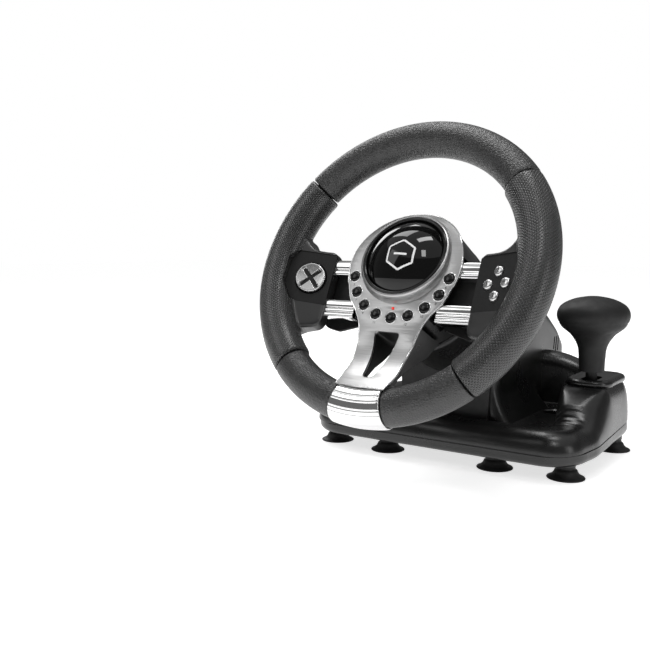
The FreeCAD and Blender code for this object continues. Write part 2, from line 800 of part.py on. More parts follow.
def pot_bracket():
    seat = wheel_point(0, pinion_centre(), gear_place - 8)
    post = slab(-7, 7, seat.y - 3, seat.y + 3, platform + 4, seat.z)
    band = to_wheel(disc(12, gear_place - 12, gear_place - 4, 0, pinion_centre()))
    hole = to_wheel(disc(9.5, gear_place - 40, gear_place + 20, 0, pinion_centre()))
    return post.fuse(band).removeSplitter().cut(hole)


def centring_spring():
    spring = coil(12.5, 1.4, 4.2, 20.0)
    spring.translate(Vec(0, 0, gear_place + gear_width + 2))
    return to_wheel(spring)


def cable_gland():
    """Strain-relief bush for the lead's exit at the back of the base."""
    bush = Part.makeCylinder(5.5, 8, Vec(-60, base_rear - 4, 27), Vec(0, 1, 0))
    flange = Part.makeCylinder(7.5, 2, Vec(-60, base_rear, 27), Vec(0, 1, 0))
    bore = Part.makeCylinder(2.2, 20, Vec(-60, base_rear - 6, 27), Vec(0, 1, 0))
    return bush.fuse(flange).removeSplitter().cut(bore)


def pedal_socket():
    """Square jack for the pedal unit's plug at the back of the base."""
    return slab(-98, -82, base_rear - 16, base_rear + 0.6, 21, 33).cut(
        slab(-95.8, -84.2, base_rear - 12, base_rear + 2, 23, 31))


def rear_cuts():
    return [Part.makeCylinder(5.5, 20, Vec(-60, base_rear - 10, 27), Vec(0, 1, 0)),
            slab(-98, -82, base_rear - 16, base_rear + 9, 21, 33)]


# ---- gear lever ----
def shifter_cap():
    cap = prism(box_points(87.5, 128, 35, 103), 13, cap_low, cap_high)
    top = [e for e in cap.Edges if e.BoundBox.ZMin > cap_high - 0.1]
    cap = cap.makeFillet(3.0, top)
    cap = cap.fuse(prism(box_points(90.5, 125, 39, 99), 10, cap_low - 2.5, cap_low))
    reach = 15.5
    slot = prism(box_points(lever_x - 7, lever_x + 7, lever_y - reach, lever_y + reach), 6.9, 50, 90)
    return cap.cut(slot).removeSplitter()


def lever_bracket():
    """Two cheeks that hang from the cap and carry the pivot pin."""
    cheeks = []
    for x in (95.5, 118.0):
        cheek = slab(x, x + 2.5, lever_y - 9, lever_y + 9, 38, cap_low - 2.5)
        cheeks.append(cheek)
    floor = slab(95.5, 120.5, lever_y - 9, lever_y + 9, 33, 38)
    return fused(cheeks + [floor]).cut(lever_pin())


def lever_pin():
    return Part.makeCylinder(lever_pin_radius, 27, Vec(94.5, lever_y, lever_pivot), Vec(1, 0, 0))


def lever_stem():
    boss = Part.makeCylinder(lever_boss_radius, 9, Vec(lever_x - 4.5, lever_y, lever_pivot),
                             Vec(1, 0, 0))
    rod = disc(stem_radius, lever_pivot, knob_high - 22, lever_x, lever_y)
    tail = slab(lever_x - 3, lever_x + 3, lever_y - 3, lever_y + 3, 40.5, lever_pivot)
    bore = Part.makeCylinder(lever_pin_radius + running_gap, 40,
                             Vec(lever_x - 20, lever_y, lever_pivot), Vec(1, 0, 0))
    return fused([boss, rod, tail]).cut(bore)


def lever_spring():
    """Return spring of two turns beside the lever's boss."""
    spring = coil(lever_spring_radius, lever_spring_wire, lever_spring_pitch,
                  2 * lever_spring_pitch)
    spring.rotate(Vec(0, 0, 0), Vec(0, 1, 0), 90)
    spring.translate(Vec(98.8, lever_y, lever_pivot))
    return spring


def lever_switches():
    """Two contact switches, one in front of and one behind the lever's tail."""
    return [slab(lever_x - 8, lever_x + 8, lever_y + s * 7.2 - 1.8, lever_y + s * 7.2 + 1.8, 38, 44)
            for s in (-1, 1)]


def lever_knob():
    side = [(10.9, knob_low), (11.2, 88), (12.6, 100), (18.5, 110), (27.0, 117.5),
            (knob_radius, 127), (27.8, 135.5), (18.0, 141.2), (6.0, knob_high)]
    curve = Part.BSplineCurve()
    curve.interpolate([Vec(r, 0, z) for r, z in side], False)
    edges = [Part.makeLine(Vec(0, 0, knob_low), Vec(side[0][0], 0, knob_low)), curve.toShape(),
             Part.makeLine(Vec(side[-1][0], 0, knob_high), Vec(0, 0, knob_high)),
             Part.makeLine(Vec(0, 0, knob_high), Vec(0, 0, knob_low))]
    knob = Part.Face(Part.Wire(Part.__sortEdges__(edges))).revolve(Vec(0, 0, 0), Z_AXIS, 360)
    knob.translate(Vec(lever_x, lever_y, 0))
    return knob.cut(disc(stem_radius, 0, knob_high - 22, lever_x, lever_y))


def build_wheel():
    frame = spoke_frame()
    pocket = panel_seat(panel_block(1, 0.25, 20), 1)
    right = rim_grip(frame, pocket)
    plate = hub_plate()
    save("rim_core", to_wheel(rim_core()))
    save("spoke_frame", to_wheel(frame))
    save("rim_grip_right", to_wheel(right))
    save("rim_grip_left", to_wheel(mirrored(right)))
    save("rim_top_cover", to_wheel(ring_arc(rim_radius, rim_tube, top_seam + seam_gap,
                                            180 - top_seam - seam_gap, core_tube)))
    low = ring_arc(rim_radius, rim_tube, -88, low_seam - seam_gap, core_tube)
    low = low.cut(slab(-50, clip_half_width + 0.4, -200, 0, -50, 50)).cut(plate)
    save("rim_lower_cover_right", to_wheel(low))
    save("rim_lower_cover_left", to_wheel(mirrored(low)))
    save("rim_clip", to_wheel(rim_clip(plate)))
    save("hub_plate", to_wheel(plate))
    save("hub_ring", to_wheel(hub_ring()))
    save("hub_dome", to_wheel(hub_dome()))
    save("hub_rear_housing", to_wheel(hub_rear_housing(frame)))
    save("spoke_bars", group([to_wheel(b) for b in spoke_bars()]))
    save("hub_circuit_board", to_wheel(hub_circuit_board()))
    save("status_led", to_wheel(status_led()))
    save("control_panel_left", to_wheel(control_panel_left()))
    save("control_panel_right", to_wheel(control_panel_right()))
    save("steering_shaft", to_wheel(steering_shaft()))
    drive = gear(drive_teeth, gear_width, shaft_radius, -90)
    drive.translate(Vec(0, 0, gear_place))
    save("drive_gear", to_wheel(drive))
    save("paddle_pins", group([to_wheel(p) for p in paddle_pins()]))


def build_controls():
    places = hub_buttons()
    middle = len(places) // 2
    save("button_mode", to_wheel(button(places[middle], button_radius)))
    for i in range(middle):
        left, right = places[i], places[-1 - i]
        save("button_%d" % (5 + 2 * i), to_wheel(button(left, button_radius)))
        save("button_%d" % (6 + 2 * i), to_wheel(button(right, button_radius)))
    for number, (x, y) in enumerate(key_places(), 1):
        save("button_%d" % number, to_wheel(panel_key(x, y)))
    save("dpad", to_wheel(dpad()))
    save("dpad_pivot", to_wheel(dpad_pivot()))
    save("paddle_left", to_wheel(paddle(-1)))
    save("paddle_right", to_wheel(paddle(1)))


def build_column():
    shell = column_shell()
    housing = shell.cut(above_cover_split(0))
    cover = shell.common(above_cover_split(0.4)).cut(column_window())
    save("column_housing", housing)
    save("column_top_cover", cover)
    save("column_front_panel", column_front_panel())
    save("bearing_carrier", bearing_carrier())
    save("shaft_bearings", group(shaft_bearings()))
    save("pot_bracket", pot_bracket())
    save("potentiometer", to_wheel(potentiometer()))
    save("pot_pinion", to_wheel(pot_pinion()))
    save("centring_spring", centring_spring())


def build_base():
    screws = base_screws()
    upper = base_upper_shell(group(screws)).cut(rear_cuts())
    lower = base_lower_shell().cut(group(screws)).cut(rear_cuts())
    save("base_upper_shell", upper.cut(lower))
    save("base_lower_shell", lower)
    cups = []
    for x, y in cup_places:
        for side in (-1, 1):
            cup = suction_cup()
            cup.translate(Vec(side * x, y, 0))
            cups.append(cup)
    save("suction_cups", group(cups))
    save("base_screws", group(screws))
    save("main_circuit_board", main_circuit_board())
    save("cable_gland", cable_gland())
    save("pedal_socket", pedal_socket())


def build_lever():
    save("shifter_cap", shifter_cap())
    save("lever_bracket", lever_bracket())
    save("lever_pivot_pin", lever_pin())
    save("lever_spring", lever_spring())
    save("lever_switches", group(lever_switches()))
    save("lever_stem", lever_stem())
    save("lever_knob", lever_knob())


os.makedirs("parts", exist_ok=True)
build_wheel()
build_controls()
build_column()
build_base()
build_lever()
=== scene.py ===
"""Looks for the racing wheel: materials, smooth leather and shell work, studio light and camera."""

import json
import math

import bmesh
import bpy
from mathutils import Matrix, Vector
from mathutils.geometry import interpolate_bezier


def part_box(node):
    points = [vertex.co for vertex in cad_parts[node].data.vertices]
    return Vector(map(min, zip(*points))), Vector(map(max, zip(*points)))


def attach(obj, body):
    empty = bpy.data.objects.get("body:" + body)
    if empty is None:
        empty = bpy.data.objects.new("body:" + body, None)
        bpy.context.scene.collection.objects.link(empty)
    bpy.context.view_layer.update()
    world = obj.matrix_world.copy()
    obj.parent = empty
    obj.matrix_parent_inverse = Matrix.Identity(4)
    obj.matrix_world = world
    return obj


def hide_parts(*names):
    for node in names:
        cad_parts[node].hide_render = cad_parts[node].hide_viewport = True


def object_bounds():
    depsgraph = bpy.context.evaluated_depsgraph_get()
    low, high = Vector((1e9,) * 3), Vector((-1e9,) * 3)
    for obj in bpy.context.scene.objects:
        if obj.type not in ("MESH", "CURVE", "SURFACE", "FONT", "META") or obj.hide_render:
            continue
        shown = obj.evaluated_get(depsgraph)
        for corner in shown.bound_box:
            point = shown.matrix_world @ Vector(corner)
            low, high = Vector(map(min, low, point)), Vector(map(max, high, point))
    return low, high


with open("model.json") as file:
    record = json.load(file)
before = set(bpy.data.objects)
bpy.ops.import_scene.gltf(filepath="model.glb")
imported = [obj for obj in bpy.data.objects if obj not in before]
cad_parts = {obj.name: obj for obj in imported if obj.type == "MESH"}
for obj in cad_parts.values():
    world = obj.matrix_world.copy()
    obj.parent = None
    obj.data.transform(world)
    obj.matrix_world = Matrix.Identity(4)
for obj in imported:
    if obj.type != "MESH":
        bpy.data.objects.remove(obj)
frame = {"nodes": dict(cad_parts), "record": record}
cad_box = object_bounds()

MM = 0.001
record = frame["record"]
nodes = frame["nodes"]


# ---------------------------------------------------------------- the wheel's own plane
def joint_named(name):
    return next(j for j in record["behaviour"]["joints"] if j["name"] == name)


steering = joint_named("steering_turn")
hub_centre = Vector(steering["pos_m"])
facing = Vector(steering["axis"]).normalized()
up_wheel = facing.cross(Vector((1, 0, 0))).normalized()
wheel_matrix = Matrix((
    (1, up_wheel.x, facing.x, hub_centre.x),
    (0, up_wheel.y, facing.y, hub_centre.y),
    (0, up_wheel.z, facing.z, hub_centre.z),
    (0, 0, 0, 1)))


def on_wheel(u, v, h):
    """A place in the wheel's plane, in millimetres: right, up the wheel, towards the driver."""
    return wheel_matrix @ Vector((u * MM, v * MM, h * MM))


# ---------------------------------------------------------------- mesh helpers
def make_object(name, mesh):
    obj = bpy.data.objects.new(name, mesh)
    bpy.context.scene.collection.objects.link(obj)
    return obj


def mesh_from(name, points, faces):
    mesh = bpy.data.meshes.new(name)
    mesh.from_pydata([tuple(p) for p in points], [], faces)
    mesh.validate()
    bm = bmesh.new()
    bm.from_mesh(mesh)
    bmesh.ops.remove_doubles(bm, verts=bm.verts, dist=1e-7)
    bmesh.ops.recalc_face_normals(bm, faces=bm.faces)
    bm.to_mesh(mesh)
    bm.free()
    for polygon in mesh.polygons:
        polygon.use_smooth = True
    return make_object(name, mesh)


def skin(name, rings, loop=False):
    """Quads between rings of points; every ring is closed and has the same number of points."""
    count = len(rings[0])
    points = [p for ring in rings for p in ring]
    faces = []
    spans = len(rings) if loop else len(rings) - 1
    for i in range(spans):
        a, b = i * count, (i + 1) % len(rings) * count
        for k in range(count):
            n = (k + 1) % count
            faces.append((a + k, a + n, b + n, b + k))
    if not loop:
        faces.append(tuple(range(count)))
        faces.append(tuple((len(rings) - 1) * count + k for k in range(count)))
    return mesh_from(name, points, faces)


def turned(profile, place, steps):
    """A ring of points for each (radius, height) in millimetres; place maps x, y, z to space."""
    angles = [2 * math.pi * i / steps for i in range(steps)]
    return [[place(radius * math.cos(a), radius * math.sin(a), height) for a in angles]
            for radius, height in profile]


def lathe(name, profile, place, steps):
    """A solid of revolution closed on its axis."""
    return skin(name, turned(profile, place, steps))


def applied(obj):
    """Bake an object's modifiers into its mesh."""
    graph = bpy.context.evaluated_depsgraph_get()
    mesh = bpy.data.meshes.new_from_object(obj.evaluated_get(graph))
    obj.modifiers.clear()
    obj.data = mesh
    return obj


def sharp_smooth(obj, angle=35):
    """Smooth shading with the edges sharper than the angle kept crisp."""
    mesh = obj.data
    for polygon in mesh.polygons:
        polygon.use_smooth = True
    bm = bmesh.new()
    bm.from_mesh(mesh)
    for edge in bm.edges:
        if len(edge.link_faces) == 2:
            edge.smooth = edge.calc_face_angle() < math.radians(angle)
    bm.to_mesh(mesh)
    bm.free()
    return obj


def cut_out(obj, cutter):
    """Subtract one closed mesh from another and throw the cutter away."""
    change = obj.modifiers.new("cut", "BOOLEAN")
    change.operation = "DIFFERENCE"
    change.object = cutter
    change.solver = "EXACT"
    applied(obj)
    bpy.data.objects.remove(cutter)


def merged(objects):
    """One mesh object from several, none of them kept."""
    bm = bmesh.new()
    for obj in objects:
        bm.from_mesh(obj.data)
    mesh = bpy.data.meshes.new("merged")
    bm.to_mesh(mesh)
    bm.free()
    for obj in objects:
        bpy.data.objects.remove(obj)
    return make_object("merged", mesh)


def remeshed(obj, voxel, rounds):
    """Flow joined solids into one skin with soft fillets where they meet."""
    change = obj.modifiers.new("remesh", "REMESH")
    change.mode = "VOXEL"
    change.voxel_size = voxel * MM
    applied(obj)
    change = obj.modifiers.new("smooth", "SMOOTH")
    change.factor = 0.5
    change.iterations = rounds
    return applied(obj)


def mesh_of_curve(name, curve):
    obj = make_object(name, curve)
    mesh = bpy.data.meshes.new_from_object(obj)
    bpy.data.objects.remove(obj)
    return mesh


def tube_loop(name, points, radius):
    """A round wire along a closed run of points."""
    curve = bpy.data.curves.new(name, "CURVE")
    curve.dimensions = "3D"
    curve.bevel_depth = radius * MM
    curve.bevel_resolution = 4
    spline = curve.splines.new("POLY")
    spline.points.add(len(points) - 1)
    for i, p in enumerate(points):
        spline.points[i].co = (*p, 1)
    spline.use_cyclic_u = True
    mesh = mesh_of_curve(name, curve)
    for polygon in mesh.polygons:
        polygon.use_smooth = True
    return make_object(name, mesh)


# ---------------------------------------------------------------- materials
class Shader:
    """A Principled material with short calls for the nodes that vary it."""

    def __init__(self, name, colour, roughness, metallic=0.0, **sockets):
        self.material = bpy.data.materials.new(name)
        self.material.use_nodes = True
        self.tree = self.material.node_tree
        self.bsdf = self.tree.nodes["Principled BSDF"]
        self.bsdf.inputs["Base Color"].default_value = (*colour, 1)
        self.bsdf.inputs["Roughness"].default_value = roughness
        self.bsdf.inputs["Metallic"].default_value = metallic
        for key, value in sockets.items():
            self.bsdf.inputs[key.replace("_", " ")].default_value = value
        self.height = None

    def node(self, kind, **settings):
        made = self.tree.nodes.new(kind)
        for key, value in settings.items():
            if hasattr(made, key):
                setattr(made, key, value)
            else:
                made.inputs[key].default_value = value
        return made

    def link(self, output, target):
        self.tree.links.new(output, target)

    def math(self, operation, first, second=None):
        made = self.node("ShaderNodeMath", operation=operation)
        for i, value in enumerate((first, second)):
            if value is None:
                continue
            if isinstance(value, (int, float)):
                made.inputs[i].default_value = value
            else:
                self.link(value, made.inputs[i])
        return made.outputs[0]

    def place(self):
        """The point being shaded, in the object's own metres."""
        return self.node("ShaderNodeTexCoord").outputs["Object"]

    def noise(self, scale, detail):
        made = self.node("ShaderNodeTexNoise", Scale=scale, Detail=detail)
        self.link(self.place(), made.inputs["Vector"])
        return made.outputs["Fac"]

    def cells(self, scale, feature="F1"):
        made = self.node("ShaderNodeTexVoronoi", feature=feature, Scale=scale)
        self.link(self.place(), made.inputs["Vector"])
        return made.outputs["Distance"]

    def spread(self, value, low, high, start=0.0, end=1.0):
        made = self.node("ShaderNodeMapRange")
        made.inputs["From Min"].default_value = start
        made.inputs["From Max"].default_value = end
        made.inputs["To Min"].default_value = low
        made.inputs["To Max"].default_value = high
        self.link(value, made.inputs["Value"])
        return made.outputs["Result"]

    def bump(self, value, distance, strength=1.0):
        """Stack another layer of relief; distance is its depth in metres."""
        made = self.node("ShaderNodeBump")
        made.inputs["Strength"].default_value = strength
        made.inputs["Distance"].default_value = distance
        self.link(value, made.inputs["Height"])
        if self.height is not None:
            self.link(self.height, made.inputs["Normal"])
        self.height = made.outputs["Normal"]
        self.link(self.height, self.bsdf.inputs["Normal"])
        return self

    def vary_roughness(self, value, low, high):
        self.link(self.spread(value, low, high, 0.3, 0.7), self.bsdf.inputs["Roughness"])
        return self

    def vary_colour(self, value, dark, light, start=0.3, end=0.7):
        mix = self.node("ShaderNodeMix", data_type="RGBA")
        colours = [s for s in mix.inputs if s.type == "RGBA"]
        colours[0].default_value = (*dark, 1)
        colours[1].default_value = (*light, 1)
        self.link(self.spread(value, 0.0, 1.0, start, end), mix.inputs[0])
        result = [s for s in mix.outputs if s.type == "RGBA"][0]
        self.link(result, self.bsdf.inputs["Base Color"])
        return self


def grey(value):
    return (value, value, value)


def wheel_coordinates(shader):
    """Coordinates in the wheel's own plane, as separate u, v and h outputs in metres."""
    source = shader.place()
    parts = []
    for axis in (Vector((1, 0, 0)), up_wheel, facing):
        dot = shader.node("ShaderNodeVectorMath", operation="DOT_PRODUCT")
        dot.inputs[1].default_value = axis
        shader.link(source, dot.inputs[0])
        parts.append(shader.math("SUBTRACT", dot.outputs["Value"], axis.dot(hub_centre)))
    return parts


def leather_material():
    shader = Shader("leather_black", grey(0.010), 0.4, Specular_IOR_Level=0.85)
    grain = shader.cells(520, "DISTANCE_TO_EDGE")
    fine = shader.noise(1500, 3)
    shader.bump(shader.spread(grain, 0, 1, 0.0, 0.3), 0.0003, 0.8)
    shader.bump(fine, 0.0001, 0.35)
    shader.vary_colour(shader.noise(60, 5), grey(0.008), grey(0.013))
    shader.vary_roughness(fine, 0.32, 0.46)
    return shader.material


def grip_material():
    """Perforated grip cover: rows of small pits that follow the rim round its section, coloured darker
    in the pits as painted shade.
    """
    rim_radius, tube, pitch = 0.1153, 0.0157, 0.0025
    shader = Shader("grip_dimpled", grey(0.010), 0.32, Specular_IOR_Level=1.0)
    u, v, h = wheel_coordinates(shader)
    around = shader.math("ARCTAN2", v, u)
    reach = shader.math("SQRT", shader.math("ADD", shader.math("MULTIPLY", u, u),
                                            shader.math("MULTIPLY", v, v)))
    section = shader.math("ARCTAN2", h, shader.math("SUBTRACT", reach, rim_radius))
    along = shader.math("MULTIPLY", around, rim_radius / pitch)
    across = shader.math("MULTIPLY", section, tube / (pitch * 0.62))
    row = shader.math("FLOOR", across)
    shift = shader.math("MULTIPLY", shader.math("MODULO", shader.math("ABSOLUTE", row), 2.0), 0.5)
    cell_x = shader.math("SUBTRACT", shader.math(
        "FRACT", shader.math("ADD", shader.math("ADD", along, 500.0), shift)), 0.5)
    cell_y = shader.math("SUBTRACT", shader.math("FRACT", shader.math("ADD", across, 500.0)), 0.5)
    distance = shader.math("SQRT", shader.math(
        "ADD", shader.math("MULTIPLY", cell_x, cell_x),
        shader.math("MULTIPLY", shader.math("MULTIPLY", cell_y, cell_y), 0.55)))
    past_rim = shader.math("SUBTRACT", reach, rim_radius)
    off_bar = shader.math("SQRT", shader.math("ADD", shader.math("MULTIPLY", past_rim, past_rim),
                                              shader.math("MULTIPLY", h, h)))
    plain = shader.spread(off_bar, 0.0, 1.0, tube * 1.06, tube * 1.14)
    pit = shader.math("MAXIMUM", shader.spread(distance, 0.0, 1.0, 0.12, 0.36), plain)
    shader.bump(pit, 0.0008, 1.0)
    shader.bump(shader.noise(1800, 2), 0.00008, 0.4)
    # The same pit mask darkens the colour in the pits and lightens the ridges: painted shade in the
    # pits.
    shader.vary_colour(pit, grey(0.003), grey(0.013), 0.0, 1.0)
    shader.vary_roughness(shader.noise(90, 4), 0.27, 0.36)
    return shader.material


def panel_material():
    shader = Shader("panel_grain", grey(0.007), 0.44, Specular_IOR_Level=0.4)
    shader.bump(shader.cells(900, "DISTANCE_TO_EDGE"), 0.0002, 0.5)
    shader.vary_roughness(shader.noise(300, 3), 0.42, 0.56)
    return shader.material


def plate_material():
    """Brushed sheet: long fine scratches across the plate."""
    shader = Shader("plate_brushed", grey(0.5), 0.34, 1.0)
    u, v = wheel_coordinates(shader)[:2]
    combine = shader.node("ShaderNodeCombineXYZ")
    shader.link(shader.math("MULTIPLY", u, 40.0), combine.inputs[0])
    shader.link(shader.math("MULTIPLY", v, 3000.0), combine.inputs[1])
    brush = shader.node("ShaderNodeTexNoise", Scale=1.0, Detail=5.0)
    shader.link(combine.outputs[0], brush.inputs["Vector"])
    lines = brush.outputs["Fac"]
    shader.bump(lines, 0.00002, 0.2)
    shader.vary_colour(lines, grey(0.43), grey(0.56))
    shader.vary_roughness(lines, 0.3, 0.4)
    return shader.material


def chrome_material():
    shader = Shader("chrome_bright", grey(0.8), 0.07, 1.0)
    shader.vary_roughness(shader.noise(120, 4), 0.05, 0.1)
    shader.bump(shader.noise(40, 2), 0.0001, 0.1)
    return shader.material


def gloss_material(name, level, low, high, specular=0.5):
    """Moulded glossy plastic with faint flow marks and a little unevenness."""
    shader = Shader(name, grey(level), low, Specular_IOR_Level=specular)
    shader.vary_roughness(shader.noise(35, 4), low, high)
    shader.bump(shader.noise(14, 2), 0.0006, 0.05)
    shader.vary_colour(shader.noise(220, 3), grey(level * 0.8), grey(level * 1.3))
    return shader.material


def matte_material(name, level, rough=0.55, relief=0.00012):
    """Spark-eroded matte moulding."""
    shader = Shader(name, grey(level), rough, Specular_IOR_Level=0.4)
    shader.bump(shader.noise(2200, 3), relief, 0.4)
    shader.vary_roughness(shader.noise(180, 3), rough - 0.06, rough + 0.08)
    shader.vary_colour(shader.noise(50, 4), grey(level * 0.85), grey(level * 1.2))
    return shader.material


def silver_material():
    shader = Shader("silver_satin", grey(0.74), 0.26, 1.0)
    shader.vary_roughness(shader.noise(500, 4), 0.2, 0.32)
    shader.bump(shader.noise(1600, 2), 0.00003, 0.3)
    return shader.material


def steel_material():
    shader = Shader("steel_plain", grey(0.5), 0.35, 1.0)
    shader.vary_roughness(shader.noise(260, 4), 0.28, 0.45)
    return shader.material


def nylon_material():
    shader = Shader("nylon", (0.72, 0.71, 0.66), 0.5)
    shader.vary_roughness(shader.noise(200, 3), 0.42, 0.58)
    return shader.material


def board_material():
    shader = Shader("circuit_board", (0.02, 0.16, 0.06), 0.35)
    shader.vary_colour(shader.cells(160), (0.015, 0.12, 0.04), (0.04, 0.24, 0.1), 0.1, 0.7)
    shader.vary_roughness(shader.noise(300, 3), 0.3, 0.5)
    return shader.material


def lamp_material():
    shader = Shader("lamp_red", (0.75, 0.02, 0.01), 0.2, Emission_Strength=0.5)
    shader.bsdf.inputs["Emission Color"].default_value = (1.0, 0.05, 0.02, 1)
    shader.vary_roughness(shader.noise(400, 2), 0.15, 0.25)
    return shader.material


def print_material():
    shader = Shader("print_white", grey(0.95), 0.5)
    shader.vary_roughness(shader.noise(600, 2), 0.45, 0.6)
    return shader.material


LEATHER = leather_material()
GRIP = grip_material()
PANEL = panel_material()
PLATE = plate_material()
CHROME = chrome_material()
DOME = gloss_material("dome_black", 0.0015, 0.03, 0.045, specular=0.45)
GLOSS = gloss_material("shell_gloss", 0.006, 0.25, 0.32, specular=0.6)
SATIN = gloss_material("shell_satin", 0.006, 0.26, 0.34, specular=0.45)
BUTTON = gloss_material("button_black", 0.002, 0.06, 0.1, specular=0.4)
RING = gloss_material("ring_black", 0.003, 0.10, 0.16, specular=0.5)
MATTE = matte_material("matte_black", 0.008)
KNOB = matte_material("knob_soft", 0.008, 0.58, 0.00005)
RUBBER = matte_material("cup_rubber", 0.010, 0.5, 0.00008)
SILVER = silver_material()
STEEL = steel_material()
NYLON = nylon_material()
BOARD = board_material()
LAMP = lamp_material()
WHITE_PRINT = print_material()
DARK_PRINT = matte_material("print_dark", 0.02)

SLOT_MATERIALS = {
    "leather": LEATHER, "grip": GRIP, "chrome": CHROME, "plate": PLATE, "ring": RING,
    "dome": DOME, "matte_black": MATTE, "gloss_black": GLOSS, "knob": KNOB,
    "button_gloss": BUTTON, "silver": SILVER, "cup_rubber": RUBBER, "steel": STEEL,
    "nylon": NYLON, "board": BOARD, "red_lens": LAMP,
}
NODE_MATERIALS = {
    "control_panel_left": PANEL, "control_panel_right": PANEL, "base_lower_shell": GLOSS,
    # The lever stem is coloured matte black as painted shade for the dark gap under the knob.
    "hub_rear_housing": SATIN, "lever_stem": MATTE,
}
for part in record["subparts"]:
    node = nodes[part["node"]]
    material = NODE_MATERIALS.get(part["node"], SLOT_MATERIALS[part["material_slot"]])
    node.data.materials.clear()
    node.data.materials.append(material)


def finish_piece(obj, material, body, slot, *stands_for):
    obj.data.materials.clear()
    obj.data.materials.append(material)
    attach(obj, body)
    if stands_for:
        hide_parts(*stands_for)
    return obj


# ---------------------------------------------------------------- camera and light
AZIMUTH, ELEVATION = math.radians(35.15), math.radians(5.83)
LENS_MM = 44.52
CAMERA_DISTANCE, AIM_OFFSET = 0.78, (-0.1296, -0.0221, -0.0337)
FLOOR_GLOW, WORLD_SEEN, WORLD_FILL = 0.68, 1.0, 0.16
SKY_POWER, SKY_SPREAD = 0.7, 100
camera_data = bpy.data.cameras.new("camera")
camera_data.lens = LENS_MM
camera_data.sensor_width = 36
camera = bpy.data.objects.new("camera", camera_data)
bpy.context.scene.collection.objects.link(camera)
backward = Vector((math.sin(AZIMUTH) * math.cos(ELEVATION),
                   -math.cos(AZIMUTH) * math.cos(ELEVATION), math.sin(ELEVATION)))
middle = (Vector(cad_box[0]) + Vector(cad_box[1])) / 2
aim = middle + Vector(AIM_OFFSET)
camera.location = aim + backward * CAMERA_DISTANCE
camera.rotation_euler = backward.to_track_quat("Z", "Y").to_euler()
bpy.context.scene.camera = camera


def softbox(name, place, size, power):
    data = bpy.data.lights.new(name, "AREA")
    data.shape = "RECTANGLE"
    data.size, data.size_y = size
    data.energy = power
    light = bpy.data.objects.new(name, data)
    light.location = place
    towards = Vector(place) - middle
    light.rotation_euler = towards.to_track_quat("Z", "Y").to_euler()
    bpy.context.scene.collection.objects.link(light)


softbox("key", (-0.86, -0.98, 1.02), (0.6, 0.6), 1.7)
softbox("overhead", (-0.6, 0.36, 1.45), (0.8, 0.7), 8)
softbox("zenith", (0.16, -0.12, 1.4), (0.5, 0.2), 3.2)
softbox("window", (0.46, -0.72, 1.12), (0.16, 0.3), 1.3)
softbox("side", (1.45, -0.35, 0.5), (0.3, 0.8), 2.4)
softbox("rim_light", (-1.2, 0.75, 0.7), (0.4, 0.9), 4)
sun_data = bpy.data.lights.new("sky", "SUN")
sun_data.energy = SKY_POWER
sun_data.angle = math.radians(SKY_SPREAD)
sun = bpy.data.objects.new("sky", sun_data)
bpy.context.scene.collection.objects.link(sun)

floor = mesh_from("floor", [(-6, -6, 0), (6, -6, 0), (6, 6, 0), (-6, 6, 0)], [(0, 1, 2, 3)])
floor.location.z = min(cad_box[0][2], 0) - 0.0002
floor_shader = Shader("floor_pale", grey(0.85), 0.7, Emission_Strength=FLOOR_GLOW)
floor_shader.bsdf.inputs["Emission Color"].default_value = (1, 1, 1, 1)
floor.data.materials.append(floor_shader.material)

world = bpy.data.worlds.new("studio")
bpy.context.scene.world = world
world.use_nodes = True
tree = world.node_tree
tree.nodes.clear()
path = tree.nodes.new("ShaderNodeLightPath")
choice = tree.nodes.new("ShaderNodeMixShader")
output = tree.nodes.new("ShaderNodeOutputWorld")
tree.links.new(path.outputs["Is Camera Ray"], choice.inputs[0])
for socket, strength in ((1, WORLD_FILL), (2, WORLD_SEEN)):
    background = tree.nodes.new("ShaderNodeBackground")
    background.inputs[0].default_value = (1, 1, 1, 1)
    background.inputs[1].default_value = strength
    tree.links.new(background.outputs[0], choice.inputs[socket])
tree.links.new(choice.outputs[0], output.inputs[0])
bpy.context.scene.view_settings.view_transform = "Standard"

# ---------------------------------------------------------------- rim
RIM_RADIUS, RIM_TUBE, GRIP_TUBE, CLIP_TUBE = 115.3, 14.7, 15.7, 16.2
TOP_SEAM, LOW_SEAM = 38.0, -48.5
CLIP_HALF = 21.3
PANEL_CENTRE, PANEL_TILT = (85, -9.5, -2), 17.5


def rim_ring(angle, tube, centre=RIM_RADIUS, shape=None, section=72):
    """One cross-section of the rim at an angle (degrees) from the driver's right."""
    a = math.radians(angle)
    ring = []
    for k in range(section):
        phi = 2 * math.pi * k / section
        reach = tube * (shape(phi) if shape else 1.0)
        radial = centre + reach * math.cos(phi)
        ring.append(on_wheel(radial * math.cos(a), radial * math.sin(a), reach * math.sin(phi)))
    return ring


def rim_bar(name, start, end, tube, centre=RIM_RADIUS, steps=60, shape=None, roll=0.9,
            section=72):
    """A covered stretch of the rim whose ends roll in towards the hoop, as wrapped leather does."""
    inward = ((0.0, roll * 1.6), (0.25, roll * 0.7), (0.8, roll * 0.22), (1.6, 0.0))
    degrees = 180 / math.pi / RIM_RADIUS
    places = [(start, 10.0)] + [(start + gap * degrees, tube - sink) for gap, sink in inward]
    places += [(start + (end - start) * i / steps, tube) for i in range(1, steps)]
    places += [(end - gap * degrees, tube - sink) for gap, sink in reversed(inward)] + [(end, 10.0)]
    rings = [rim_ring(angle, reach, centre, shape, section) for angle, reach in places]
    return skin(name, rings)


